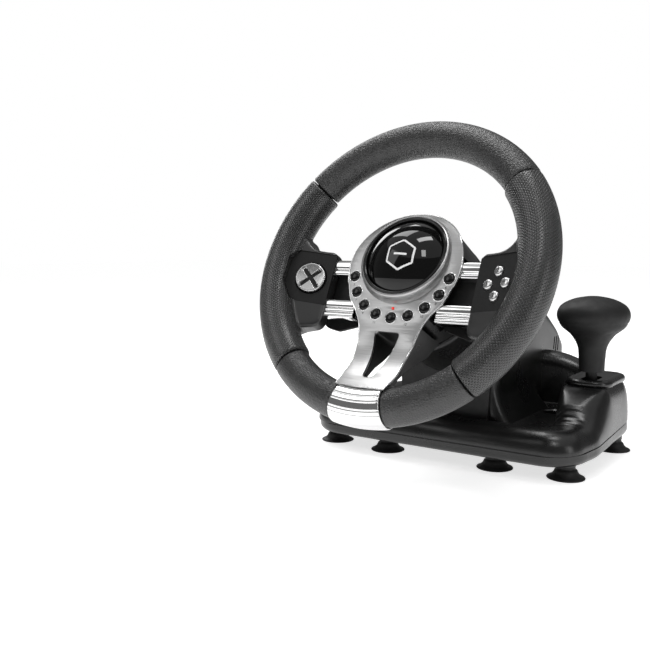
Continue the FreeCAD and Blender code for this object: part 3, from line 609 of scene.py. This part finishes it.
def make_rim():
    gap = 0.2
    top = rim_bar("rim_top_leather", TOP_SEAM + gap, 180 - TOP_SEAM - gap, RIM_TUBE)
    finish_piece(top, LEATHER, "wheel", "leather", "rim_top_cover")
    low_end = -90 + math.degrees(math.asin((CLIP_HALF + 0.3) / RIM_RADIUS))
    for name, start, end in (
            ("right", low_end, LOW_SEAM - gap), ("left", 180 - LOW_SEAM + gap, 180 - low_end)):
        piece = rim_bar("rim_lower_leather_" + name, start, end, RIM_TUBE, steps=30)
        finish_piece(piece, LEATHER, "wheel", "leather", "rim_lower_cover_" + name)


def lobe(side):
    """The inward part of a grip that surrounds its control panel, with softly rounded edges."""
    corners = [(65.8, 16.0, 5), (88, 15.5, 16), (101, 34, 20), (118, 0, 30), (104, -64, 20),
               (82, -54.5, 7), (65.8, -51.0, 8)]
    outline = rounded(corners)
    slope = math.tan(math.radians(PANEL_TILT))

    def top(u):
        return PANEL_CENTRE[2] + (u - PANEL_CENTRE[0]) * slope + 0.7
    layers = [(2.6, -19.5, 0), (0.6, -18.0, 0), (0.0, -15.5, 0), (0.0, -1.6, 1), (0.5, -0.5, 1),
              (1.7, 0.0, 1)]
    rings = []
    for inset, height, from_top in layers:
        ring = []
        for x, y in shrink(outline, inset):
            h = top(x) + height if from_top else min(height, top(x) - 2.4)
            ring.append(on_wheel(side * x, y, h))
        rings.append(ring)
    return skin("lobe", rings)


def rounded(corners, steps=7):
    """Outline through corners (x, y, radius), each turned into a run of points on an arc."""
    points = []
    for i, (x, y, radius) in enumerate(corners):
        here = Vector((x, y))
        before = (Vector(corners[i - 1][:2]) - here)
        after = (Vector(corners[(i + 1) % len(corners)][:2]) - here)
        half = before.angle(after) / 2
        back = min(radius / math.tan(half), before.length * 0.49, after.length * 0.49)
        reach = back * math.tan(half)
        first, last = here + before.normalized() * back, here + after.normalized() * back
        centre = here + (before.normalized() + after.normalized()).normalized() * (
            reach / math.sin(half))
        for k in range(steps + 1):
            spoke = (first - centre).lerp(last - centre, k / steps).normalized() * reach
            points.append(tuple(centre + spoke))
    return points


def shrink(points, inset):
    """The outline moved in by a distance, along each point's normal."""
    if inset == 0:
        return points
    area = sum(points[i - 1][0] * p[1] - p[0] * points[i - 1][1] for i, p in enumerate(points))
    turn = 1 if area > 0 else -1
    moved = []
    for i, (x, y) in enumerate(points):
        ahead = Vector(points[(i + 1) % len(points)]) - Vector(points[i - 1])
        ahead.normalize()
        moved.append((x - turn * ahead.y * inset, y + turn * ahead.x * inset))
    return moved


def panel_matrix(side):
    tilt = Matrix.Rotation(math.radians(-side * PANEL_TILT), 4, "Y")
    x, y, z = PANEL_CENTRE
    return wheel_matrix @ Matrix.Translation(Vector((side * x, y, z)) * MM) @ tilt


def panel_pocket(side):
    corners = [(-20.3, -22.8, 1.6), (11.3, -22.8, 10), (20.3, -8.0, 14), (20.3, 14.2, 8),
               (14.6, 22.8, 5), (-20.3, 22.8, 1.6)]
    outline = rounded([(side * x, y, r) for x, y, r in corners])
    place = panel_matrix(side)
    rings = [[place @ Vector((x * MM, y * MM, z * MM)) for x, y in outline] for z in (-8.2, 25)]
    return skin("pocket", rings)


def make_grip(side, name):
    start, end = (LOW_SEAM + 0.2, TOP_SEAM - 0.2)
    if side < 0:
        start, end = 180 - end, 180 - start
    bar = rim_bar("grip", start, end, GRIP_TUBE, RIM_RADIUS + RIM_TUBE - GRIP_TUBE, 90)
    bar = remeshed(merged([bar, lobe(side)]), 1.0, 8)
    cut_out(bar, panel_pocket(side))
    bar.name = "rim_grip_cover_" + name
    sharp_smooth(bar, 40)
    finish_piece(bar, GRIP, "wheel", "grip", "rim_grip_" + name)


def make_clip():
    """Polished clip round the bottom of the rim, with fine lines engraved across its face."""
    grooves = [math.radians(a) for a in (128, 116, 104, 92, 66, 54, 42, 30)]

    def engraved(phi):
        depth = sum(math.exp(-((phi - g) / 0.022) ** 2) for g in grooves)
        return 1.0 - 0.022 * min(depth, 1.0)
    sweep = math.degrees(math.asin(CLIP_HALF / RIM_RADIUS))
    piece = rim_bar("rim_clip_polished", -90 - sweep, -90 + sweep, CLIP_TUBE, steps=24,
                    shape=engraved, roll=0.6, section=288)
    finish_piece(piece, CHROME, "wheel", "chrome", "rim_clip")


make_rim()
make_grip(1, "right")
make_grip(-1, "left")
make_clip()

# ---------------------------------------------------------------- hub
PLATE_CENTRE, PLATE_RADIUS, PLATE_THICK = 4.6, 50.5, 3.0
BUTTON_CIRCLE, BUTTON_STEP, BUTTON_RADIUS = 44.1, 19.3, 4.4
RING_CENTRE, RING_RADIUS, DOME_RADIUS, DOME_RISE = 13.2, 36.6, 33.4, 14.0


def flowing(corners, steps):
    """A smooth run of points through the corners, with both ends kept."""
    points = []
    for i in range(len(corners) - 1):
        before = Vector(corners[max(i - 1, 0)])
        a, b = Vector(corners[i]), Vector(corners[i + 1])
        after = Vector(corners[min(i + 2, len(corners) - 1)])
        points += interpolate_bezier(a, a + (b - before) / 6, b - (after - a) / 6, b, steps)[:-1]
    return [(p[0], p[1]) for p in points] + [corners[-1]]


def plate_face(v):
    """Height of the plate's face along the wheel axis at a distance up the wheel."""
    if v > 0:
        return -8.0 - 11.5 * (v / 62) ** 2.4
    if v < -60:
        return -8.0 + 22.5 * ((-60 - v) / 44) ** 1.75
    return -8.0


def smooth_side():
    """Right edge of the plate below its round head, from top to bottom."""
    side = [(47.0, -12), (42.0, -25), (34.0, -35.5), (28.0, -46), (24.5, -62), (22.4, -76),
            (22.6, -88), (21.3, -103)]
    return flowing(side, 8)


def circle_points(radius, x=0.0, y=0.0, steps=64):
    return [(x + radius * math.cos(2 * math.pi * i / steps),
             y + radius * math.sin(2 * math.pi * i / steps)) for i in range(steps)]


def plate_outline():
    right = smooth_side()
    start = math.atan2(right[0][1] - PLATE_CENTRE, right[0][0])
    head = []
    for i in range(1, 96):
        a = start + (math.pi - 2 * start) * i / 96
        head.append((PLATE_RADIUS * math.cos(a), PLATE_CENTRE + PLATE_RADIUS * math.sin(a)))
    left = [(-x, y) for x, y in right]
    return list(reversed(right)) + head + left


def button_places():
    half = 4
    places = {}
    for i in range(-half, half + 1):
        a = math.radians(-90 + i * BUTTON_STEP)
        label = "mode" if i == 0 else str(2 * (half - abs(i)) + (5 if i < 0 else 6))
        places[label] = (BUTTON_CIRCLE * math.cos(a), PLATE_CENTRE + BUTTON_CIRCLE * math.sin(a))
    return places


def flat_shape(name, outlines, depth, bevel):
    """A filled 2-D shape with holes, given thickness and a rounded edge, in millimetres."""
    curve = bpy.data.curves.new(name, "CURVE")
    curve.dimensions = "2D"
    curve.fill_mode = "BOTH"
    curve.extrude = depth / 2 - bevel
    curve.bevel_depth = bevel
    curve.bevel_resolution = 2
    curve.offset = -bevel
    for outline in outlines:
        spline = curve.splines.new("POLY")
        spline.points.add(len(outline) - 1)
        for i, (x, y) in enumerate(outline):
            spline.points[i].co = (x, y, 0, 1)
        spline.use_cyclic_u = True
    mesh = mesh_of_curve(name, curve)
    bm = bmesh.new()
    bm.from_mesh(mesh)
    bmesh.ops.remove_doubles(bm, verts=bm.verts, dist=1e-4)
    bm.to_mesh(mesh)
    bm.free()
    return make_object(name, mesh)


def make_plate():
    window = rounded([(-11.5, -51.5, 3), (11.5, -51.5, 3), (4.5, -93, 4), (-4.5, -93, 4)])
    holes = [circle_points(BUTTON_RADIUS + 0.3, u, v, 48) for u, v in button_places().values()]
    holes += [window, circle_points(RING_RADIUS - 0.5, 0, 12.8, 128),
              circle_points(0.95, 0, -31.6, 24)]
    plate = flat_shape("hub_plate_brushed", [plate_outline()] + holes, PLATE_THICK, 0.45)
    bm = bmesh.new()
    bm.from_mesh(plate.data)
    for v in range(-102, 58, 3):
        bmesh.ops.bisect_plane(bm, geom=bm.verts[:] + bm.edges[:] + bm.faces[:],
                               plane_co=(0, v, 0), plane_no=(0, 1, 0))
    for vert in bm.verts:
        u, v, h = vert.co
        vert.co = on_wheel(u, v, h - PLATE_THICK / 2 + plate_face(v))
    bm.to_mesh(plate.data)
    bm.free()
    sharp_smooth(plate, 30)
    finish_piece(plate, PLATE, "wheel", "plate", "hub_plate")

    edge = [on_wheel(u, v, plate_face(v) - 0.45) for u, v in plate_outline()]
    trim = tube_loop("hub_plate_edge", edge, 0.6)
    finish_piece(trim, CHROME, "wheel", "chrome")


def seat_point(x, y, z):
    """A place on the dome's tilted seat, in millimetres."""
    tilt = math.radians(8.0)
    return on_wheel(x, RING_CENTRE + y * math.cos(tilt) + z * math.sin(tilt),
                    -6.5 - y * math.sin(tilt) + z * math.cos(tilt))


def dome_height(radius):
    ball = (DOME_RADIUS ** 2 + DOME_RISE ** 2) / (2 * DOME_RISE)
    return DOME_RISE - ball + math.sqrt(ball ** 2 - radius ** 2)


def make_dome():
    profile = [(0.01, -6), (DOME_RADIUS, -6)]
    profile += [(DOME_RADIUS * math.cos(a), dome_height(DOME_RADIUS * math.cos(a)))
                for a in (math.pi / 2 * i / 40 for i in range(40))]
    profile.append((0.01, DOME_RISE))
    dome = lathe("hub_dome_gloss", profile, seat_point, 128)
    sharp_smooth(dome, 50)
    finish_piece(dome, DOME, "wheel", "dome", "hub_dome")

    inner, outer, high = DOME_RADIUS + 0.05, RING_RADIUS, 2.2
    profile = [(inner, -9), (outer, -9), (outer, high - 2.0)]
    profile += [(outer - 1.2 + 1.2 * math.cos(a), high - 1.2 + 1.2 * math.sin(a))
                for a in (math.pi / 2 * i / 8 for i in range(9))]
    profile += [(inner + 1.0, high), (inner + 0.3, high - 0.5), (inner, high - 1.4)]
    ring = skin("hub_ring_black", turned(profile, seat_point, 128), loop=True)
    sharp_smooth(ring, 40)
    finish_piece(ring, RING, "wheel", "ring", "hub_ring")


def make_collar():
    """Raised lip of the plate round the dome's ring."""
    profile = [(RING_RADIUS - 0.4, -7), (RING_RADIUS - 0.4, 1.2), (RING_RADIUS + 0.3, 1.9),
               (RING_RADIUS + 1.2, 1.7), (RING_RADIUS + 2.2, 0.4), (RING_RADIUS + 3.8, -4.5),
               (RING_RADIUS + 3.8, -9)]
    collar = skin("plate_collar", turned(profile, seat_point, 128), loop=True)
    sharp_smooth(collar, 50)
    finish_piece(collar, PLATE, "wheel", "plate")


def on_dome(x, y, lift=0.12):
    return seat_point(x, y, dome_height(math.hypot(x, y)) + lift)


def ribbon(name, line, width, closed=False):
    """A printed line on the dome along 2-D points."""
    steps = 6
    pairs = []
    count = len(line)
    spans = count if closed else count - 1
    for i in range(spans):
        a, b = Vector(line[i]), Vector(line[(i + 1) % count])
        side = Vector((-(b - a).y, (b - a).x)).normalized() * width / 2
        rows = [a.lerp(b, k / steps) for k in range(steps + 1)]
        pairs.append([(p + side, p - side) for p in rows])
    points, faces = [], []
    for rows in pairs:
        base = len(points)
        for left, right in rows:
            points += [on_dome(*left), on_dome(*right)]
        for k in range(len(rows) - 1):
            faces.append((base + 2 * k, base + 2 * k + 1, base + 2 * k + 3, base + 2 * k + 2))
    obj = mesh_from(name, points, faces)
    finish_piece(obj, WHITE_PRINT, "wheel", "dome")


def make_emblem():
    """A plain hexagon with a short bar inside it."""
    x, y, size = 4.0, -6.5, 12.5
    hexagon = [(x + size * math.cos(math.radians(60 * i + 30)),
                y + size * math.sin(math.radians(60 * i + 30))) for i in range(6)]
    ribbon("dome_mark_hexagon", hexagon, 1.5, True)
    ribbon("dome_mark_bar", [(x - 5.5, y), (x + 5.5, y)], 1.7)


def lettering(name, text, size, matrix):
    """A digit as a thin raised print; matrix places its XY plane."""
    curve = bpy.data.curves.new(name, "FONT")
    curve.body = text
    curve.size = size * MM
    curve.align_x = "CENTER"
    curve.align_y = "CENTER"
    curve.extrude = 0.00004
    mesh = mesh_of_curve(name, curve)
    mesh.transform(matrix)
    return make_object(name, mesh)


def make_plate_buttons():
    for label, (u, v) in button_places().items():
        face = plate_face(v)
        node = "button_" + label

        def place(x, y, z):
            return on_wheel(u + x, v + y, face + z)
        profile = [(0.01, 1.3), (1.6, 1.22), (2.9, 0.95), (3.8, 0.5), (4.25, -0.1), (4.4, -0.9),
                   (4.4, -3.5), (5.4, -3.5), (5.4, -5.6), (0.01, -5.6)]
        cap = lathe("cap_" + label, profile, place, 48)
        sharp_smooth(cap, 45)
        finish_piece(cap, BUTTON, node, "button_gloss", node)
        lip = [(4.6, -0.6), (4.65, 0.15), (4.95, 0.38), (5.35, 0.3), (5.6, -0.05), (5.6, -0.6)]
        bezel = skin("bezel_" + label, turned(lip, place, 48), loop=True)
        finish_piece(bezel, CHROME, "wheel", "chrome")
        if label != "mode":
            where = on_wheel(u * 0.97, v - 7.4, plate_face(v - 7.4) + 0.04)
            turn = wheel_matrix.to_3x3().to_4x4()
            mark = lettering("plate_digit_" + label, label, 2.9, Matrix.Translation(where) @ turn)
            finish_piece(mark, DARK_PRINT, "wheel", "plate")


def make_keys():
    spots = [(-8.0, -1.0), (0, 9.0), (0, -11.0), (8.0, -1.0)]
    seat = panel_matrix(1)
    for number, (x, y) in enumerate(spots, 1):
        node = "button_%d" % number

        def place(a, b, z):
            return seat @ Vector(((x + a) * MM, (y + b) * MM, z * MM))
        profile = [(0.01, 2.0), (2.2, 1.9), (3.4, 1.6), (4.0, 1.0), (4.2, 0.2), (4.2, -4.2),
                   (5.1, -4.2), (5.1, -5.4), (0.01, -5.4)]
        cap = lathe("key_cap_%d" % number, profile, place, 48)
        sharp_smooth(cap, 45)
        finish_piece(cap, SILVER, node, "silver", node)
        where = seat @ Matrix.Translation(Vector((x, y, 2.03)) * MM)
        digit = lettering("key_digit_%d" % number, str(number), 5.2, where)
        finish_piece(digit, DARK_PRINT, node, "silver")


def make_dpad():
    seat = panel_matrix(-1)
    radius, spokes, rows = 13.0, 192, 44
    centre = (2.0, -0.9)
    angles = [2 * math.pi * k / spokes for k in range(spokes)]

    def place(x, y, z):
        return seat @ Vector(((centre[0] + x) * MM, (centre[1] + y) * MM, z * MM))

    def height(x, y):
        r = math.hypot(x, y)
        dish = 2.0 + 1.2 * (r / radius) ** 2
        edge = max(0.0, (r - radius + 1.3) / 1.3)
        dish -= 1.3 * (1 - math.sqrt(max(0.0, 1 - edge * edge)))
        p, q = (x + y) / math.sqrt(2), (x - y) / math.sqrt(2)
        cut = 0.0
        for across, along in ((p, q), (q, p)):
            width = 1.15 + 0.05 * abs(along)
            cut = max(cut, 1 - min(1.0, max(0.0, (abs(across) - width) / 0.5)))
        if r > radius - 2.2:
            cut *= max(0.0, (radius - 1.2 - r) / 1.0)
        return dish - 2.0 * cut
    rings = []
    for row in range(1, rows + 1):
        r = radius * row / rows
        spots = [(r * math.cos(a), r * math.sin(a)) for a in angles]
        rings.append([place(x, y, height(x, y)) for x, y in spots])
    rings.append([place(x, y, -2.6) for x, y in spots])
    pad = skin("dpad_silver", rings)
    sharp_smooth(pad, 60)
    finish_piece(pad, SILVER, "dpad", "silver", "dpad")
    for turn in (45, 135):
        corners = [(-10.8, -1.25), (10.8, -1.25), (10.8, 1.25), (-10.8, 1.25)]
        spin = Matrix.Rotation(math.radians(turn), 4, "Z")
        local = seat @ Matrix.Translation(Vector((*centre, 0)) * MM) @ spin
        rings = [[local @ Vector((x * MM, y * MM, z * MM)) for x, y in corners]
                 for z in (-1.0, 0.85 + 0.02 * (turn == 45))]
        bar = skin("dpad_cross_%d" % turn, rings)
        sharp_smooth(bar, 30)
        finish_piece(bar, MATTE, "dpad", "matte_black")


def fluted_profile(low, high, ridges, front, back):
    """Outline (v, h) of a bar whose face is a row of rounded flutes."""
    points = [(low, back), (low, front - 2.4)]
    start = low
    for share in ridges:
        width = (high - low) * share
        for k in range(13):
            a = math.pi * (1 - k / 12)
            bulge = 2.4 if share > 0.4 else 1.9
            points.append((start + width / 2 + width / 2 * math.cos(a),
                           front - 2.4 + bulge * math.sin(a) ** 0.6))
        start += width
    points += [(high, front - 2.4), (high, back)]
    return points


def make_bars():
    for side in (-1, 1):
        for low, high, inner, ridges in ((-3.5, 10.0, 48.0, (0.36, 0.64)),
                                         (-40.5, -25.5, 37.5, (0.25, 0.25, 0.5))):
            profile = fluted_profile(low, high, ridges, -9.2, -18.9)
            rings = [[on_wheel(side * u, v, h) for v, h in profile] for u in (inner, 66.0)]
            bar = skin("spoke_bar_%s_%s" % ("right" if side > 0 else "left",
                                            "upper" if high > 0 else "lower"), rings)
            sharp_smooth(bar, 50)
            finish_piece(bar, CHROME, "wheel", "chrome")
    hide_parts("spoke_bars")


def make_knob():
    low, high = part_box("lever_knob")
    centre = (low + high) / 2
    middle_x, middle_y = centre.x / MM, centre.y / MM
    base = low.z / MM

    def place(x, y, z):
        return Vector(((middle_x + x) * MM, (middle_y + y) * MM, (base + z) * MM))
    side = [(10.9, 0), (11.2, 10), (12.6, 22), (18.5, 32), (27.0, 39.5), (30.9, 49),
            (27.8, 57.5), (18.0, 63.2), (6.0, 65.9), (0.01, 66)]
    profile = [(0.01, 0), (10.0, 0), (10.7, 0.4)] + flowing(side, 9)
    seam = 43.0
    notched = []
    for radius, height in profile:
        dip = 0.35 * math.exp(-((height - seam) / 0.35) ** 2) if radius > 20 else 0.0
        notched.append((radius - dip, height))
    knob = lathe("gear_knob_soft", notched, place, 128)
    sharp_smooth(knob, 60)
    finish_piece(knob, KNOB, "gear_lever", "knob", "lever_knob")


make_plate()
make_dome()
make_collar()
make_emblem()
make_plate_buttons()
make_keys()
make_dpad()
make_bars()
make_knob()

# ---------------------------------------------------------------- base and column
BASE_FRONT, BASE_REAR, BASE_HALF = -48.2, 127.8, 133.0
CREST, DECK, SEAM, SEAM_SLOPE = 40.0, 35.0, 22.0, 0.06
POD_TOP = 66.0
SOCKET = (72.0, 64.8, 9.5, 14.0)


def base_point(x, y, z):
    """A place on the base, in millimetres from its middle plane, with y and z as in the row."""
    return Vector((hub_centre.x + x * MM, y * MM, z * MM))


def ease(value, low, high):
    share = min(1.0, max(0.0, (value - low) / (high - low)))
    return share * share * (3 - 2 * share)


def blend(low, high, share):
    return low + (high - low) * share


def evenly(points, count):
    """The closed outline again, as points at equal distances along it."""
    loop = [Vector(p) for p in points] + [Vector(points[0])]
    lengths = [(loop[i + 1] - loop[i]).length for i in range(len(loop) - 1)]
    step = sum(lengths) / count
    result, i, passed = [], 0, 0.0
    for k in range(count):
        while passed + lengths[i] < k * step - 1e-9:
            passed += lengths[i]
            i += 1
        result.append(loop[i].lerp(loop[i + 1], (k * step - passed) / max(lengths[i], 1e-9)))
    return result


def base_outline():
    half, front, rear = BASE_HALF, BASE_FRONT, BASE_REAR
    corners = [(-half * 0.93, front, 34), (half * 0.93, front, 34), (half, front + 46, 40),
               (half, 84, 40), (half * 0.9, rear, 22), (-half * 0.9, rear, 22),
               (-half, 84, 40), (-half, front + 46, 40)]
    return evenly(rounded(corners, 12), 640)


def seam_at(y):
    return SEAM + (y - BASE_FRONT) * SEAM_SLOPE


def pod_share(x, y):
    """1 beside the gear lever, 0 on the low roll round the rest of the base."""
    if x < 90:
        return 0.0
    return ease(y, -26, 37) ** 1.4 * (1 - ease(y, 98, 122))


def deck_outline():
    """Edge of the sunken deck inside the roll."""
    corners = [(-101, -16.2, 16), (97, -16.2, 18), (86.5, 40, 30), (86.5, 96, 5), (-98, 96, 10)]
    return evenly(rounded(corners, 12), 500)


def nearest_on(loop, point):
    best, where = 1e9, None
    for i, a in enumerate(loop):
        b = loop[(i + 1) % len(loop)]
        share = min(1.0, max(0.0, (point - a).dot(b - a) / (b - a).length_squared))
        spot = a.lerp(b, share)
        if (spot - point).length < best:
            best, where = (spot - point).length, spot
    return where


def shell_section(x, y, width):
    """Distance inwards and height of the upper shell, from the seam to the sunken deck."""
    pod = pod_share(x, y)
    crest = blend(CREST, POD_TOP, pod)
    swell = 4 * pod * (1 - pod)
    outer = blend(17.5, 10.0, pod * pod) + 8 * swell
    inner = blend(14.0, 7.0, pod) + 4 * swell
    flat_top = width - outer - inner
    power, fall = 2 / blend(2.0, 2.6, pod ** 3), 2 / blend(2.0, 4.5, pod ** 2)
    low = seam_at(y)
    section = [(3.0, low), (0.35, low), (0.0, low + 0.35)]
    for k in range(1, 21):
        a = math.pi / 2 * k / 20
        section.append((outer * (1 - math.cos(a) ** power),
                        low + 0.35 + (crest - low - 0.35) * math.sin(a) ** power))
    for k in range(1, 6):
        section.append((outer + flat_top * k / 6, crest))
    for k in range(0, 19):
        a = math.pi / 2 * k / 18
        section.append((outer + flat_top + inner * math.sin(a) ** fall,
                        DECK + (crest - DECK) * math.cos(a) ** fall))
    return section


def make_base_shell():
    deck = deck_outline()
    columns = []
    for p in base_outline():
        across = nearest_on(deck, p) - p
        inward, width = across.normalized(), across.length
        columns.append([base_point(*(p + inward * d), z)
                        for d, z in shell_section(p.x, p.y, width)])
    rings = [[column[k] for column in columns] for k in range(len(columns[0]))]
    shell = skin("base_shell_smooth", rings)
    cutters = []
    for side in (-1, 1):
        x, y, radius, depth = SOCKET
        cutters.append(lathe("cutter", [(0.01, DECK - depth), (radius, DECK - depth),
                                        (radius, DECK - 1.2), (radius + 1.2, DECK), (radius + 1.2, 50),
                                        (0.01, 50)],
                             lambda a, b, z, s=side: base_point(s * x + a, y + b, z), 64))
    slot = rounded([(89.5, 38, 11), (126, 38, 11), (126, 100, 11), (89.5, 100, 11)])
    cutters.append(skin("cutter", [[base_point(x, y, z) for x, y in slot] for z in (36.5, 80)]))
    for cutter in cutters:
        cut_out(shell, cutter)
    sharp_smooth(shell, 32)
    finish_piece(shell, GLOSS, "base", "gloss_black", "base_upper_shell")

    sections = []
    for k in range(25):
        x = 44 + (118 - 44) * k / 24
        top = blend(86.0, 50.5, (k / 24) ** 2.2)
        ring = [base_point(x, 97.0, 30.0)]
        for j in range(25):
            a = math.pi * j / 24
            ring.append(base_point(x, 111 - 14 * math.cos(a), top - 14 + 14 * math.sin(a)))
        ring.append(base_point(x, 125.0, 30.0))
        sections.append(ring)
    bridge = skin("base_bridge_ridge", sections)
    sharp_smooth(bridge, 40)
    finish_piece(bridge, GLOSS, "base", "gloss_black")


def column_block():
    corners = [(-14.0, 31, 0), (-14.0, 100, 4), (16, 163, 20), (76, 148, 40), (126, 121, 30),
               (149.5, 107, 14), (168.0, 90, 12), (168.0, 68, 12), (150, 50, 14), (122, 38, 10),
               (96, 31, 0)]
    outline = evenly(rounded(corners), 260)
    half, edge = 47, 15
    rings = []
    for k in range(-8, 9):
        a = math.pi / 2 * abs(k) / 8
        x = math.copysign(half - edge * (1 - math.sin(a)), k) if k else 0
        inset = edge * (1 - math.cos(a))
        rings.append([base_point(x, y, z) for y, z in shrink([tuple(p) for p in outline], inset)])
    return skin("block", rings)


def column_barrel():
    return lathe("barrel", [(0.01, -52.3), (49.5, -52.3), (52, -54.5), (46.3, -149), (42, -152),
                            (0.01, -152)], on_wheel, 128)


def column_skirt():
    """The foot of the column, which sweeps out in a hollow curve to the deck."""
    rings = []
    for k in range(13):
        share = k / 12
        z = DECK - 3 + 47 * share
        flare = (1 - share) ** 2.4
        half, front, back = 45 + 16.5 * flare, -13.2 - 0.8 * flare, 84 + 13 * flare
        corners = [(-half, front, 9), (half, front, 9), (half, back, 14), (-half, back, 14)]
        rings.append([base_point(x, y, z) for x, y in evenly(rounded(corners), 200)])
    return skin("skirt", rings)


def make_column():
    whole = remeshed(merged([column_block(), column_barrel(), column_skirt()]), 1.5, 14)
    split = 22.0
    corners = [(-200, -400), (200, -400), (200, 300), (-200, 300)]
    lower_half = skin("half", [[on_wheel(u, v, h) for u, h in corners] for v in (-300, split)])
    upper_half = skin("half", [[on_wheel(u, v, h) for u, h in corners] for v in (split + 0.5, 300)])
    cover = make_object("cover", whole.data.copy())
    cut_out(whole, upper_half)
    cut_out(cover, lower_half)
    trim = skin("half", [[on_wheel(u, v, h) for u, h in corners] for v in (split, split + 0.6)])
    cut_out(whole, trim)
    under = skin("half", [[base_point(x, y, z) for x, y in ((-200, -200), (200, -200), (200, 123),
                                                             (-200, 123))] for z in (-50, DECK - 1)])
    cut_out(whole, under)
    for side in (-1, 1):
        for i in range(3):
            y = 129.5 + i * 6
            corners = [(y - 2.2, 82), (y + 0.6, 82), (y + 4.2, 97), (y + 1.4, 97)]
            cut_out(cover, skin("vent", [[base_point(side * x, b, z) for b, z in corners]
                                         for x in (36, 60)]))
    for obj, name, node in ((whole, "column_housing_smooth", "column_housing"),
                            (cover, "column_cover_smooth", "column_top_cover")):
        obj.name = name
        sharp_smooth(obj, 38)
        finish_piece(obj, SATIN, "base", "gloss_black", node)


def make_cap():
    """Oval collar round the foot of the gear lever."""
    low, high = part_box("shifter_cap")
    side = [(low.x - hub_centre.x) / MM, (high.x - hub_centre.x) / MM]
    ends = [low.y / MM, high.y / MM]
    corners = [(side[0], ends[0], 16), (side[1], ends[0], 16), (side[1], ends[1], 16),
               (side[0], ends[1], 16)]
    outline = rounded(corners, 14)
    top = high.z / MM
    profile = [(3.0, top - 8.5), (1.2, top - 6.6), (0.3, top - 5.2), (0.0, top - 3.8),
               (0.3, top - 2.3), (1.2, top - 1.0), (2.8, top - 0.2), (4.4, top), (6.2, top - 0.15),
               (7.2, top - 0.6), (8.0, top - 0.7)]
    cap = skin("lever_cap_smooth", [[base_point(x, y, z) for x, y in shrink(outline, inset)]
                                    for inset, z in profile])
    stem_low, stem_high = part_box("lever_stem")
    x = ((stem_low.x + stem_high.x) / 2 - hub_centre.x) / MM
    y = (stem_low.y + stem_high.y) / 2 / MM
    slot = rounded([(x - 7, y - 15.5, 6.9), (x + 7, y - 15.5, 6.9), (x + 7, y + 15.5, 6.9),
                    (x - 7, y + 15.5, 6.9)])
    cut_out(cap, skin("cutter", [[base_point(a, b, z) for a, b in slot] for z in (50, 90)]))
    sharp_smooth(cap, 40)
    finish_piece(cap, GLOSS, "base", "gloss_black", "shifter_cap")


def make_cups():
    """Six suction cups, each a soft dished disc on a thick neck."""
    first = None
    for row, (x, y) in enumerate(((112.3, -20.5), (52.8, -25.7), (117.7, 94.3))):
        for side in (-1, 1):
            neck = 12.0 + (y - BASE_FRONT) * 0.045 + 1.5
            profile = [(0.01, 2.4), (8.0, 2.1), (13.6, 0.3), (15.3, 0.0), (15.5, 0.4),
                       (15.2, 0.9), (13.6, 1.6), (11.8, 2.7), (10.4, 4.1), (9.6, 5.6),
                       (9.2, 6.6), (8.4, 7.3), (7.7, 7.9), (7.5, 9.0), (7.5, neck), (0.01, neck)]
            cup = lathe("suction_cup_%s_%d" % ("right" if side > 0 else "left", row + 1), profile,
                        lambda a, b, z, s=side, cx=x, cy=y: base_point(s * cx + a, cy + b, z), 64)
            sharp_smooth(cup, 50)
            finish_piece(cup, RUBBER, "base", "cup_rubber")
            first = first or cup
    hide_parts("suction_cups")


make_base_shell()
make_column()
make_cap()
make_cups()
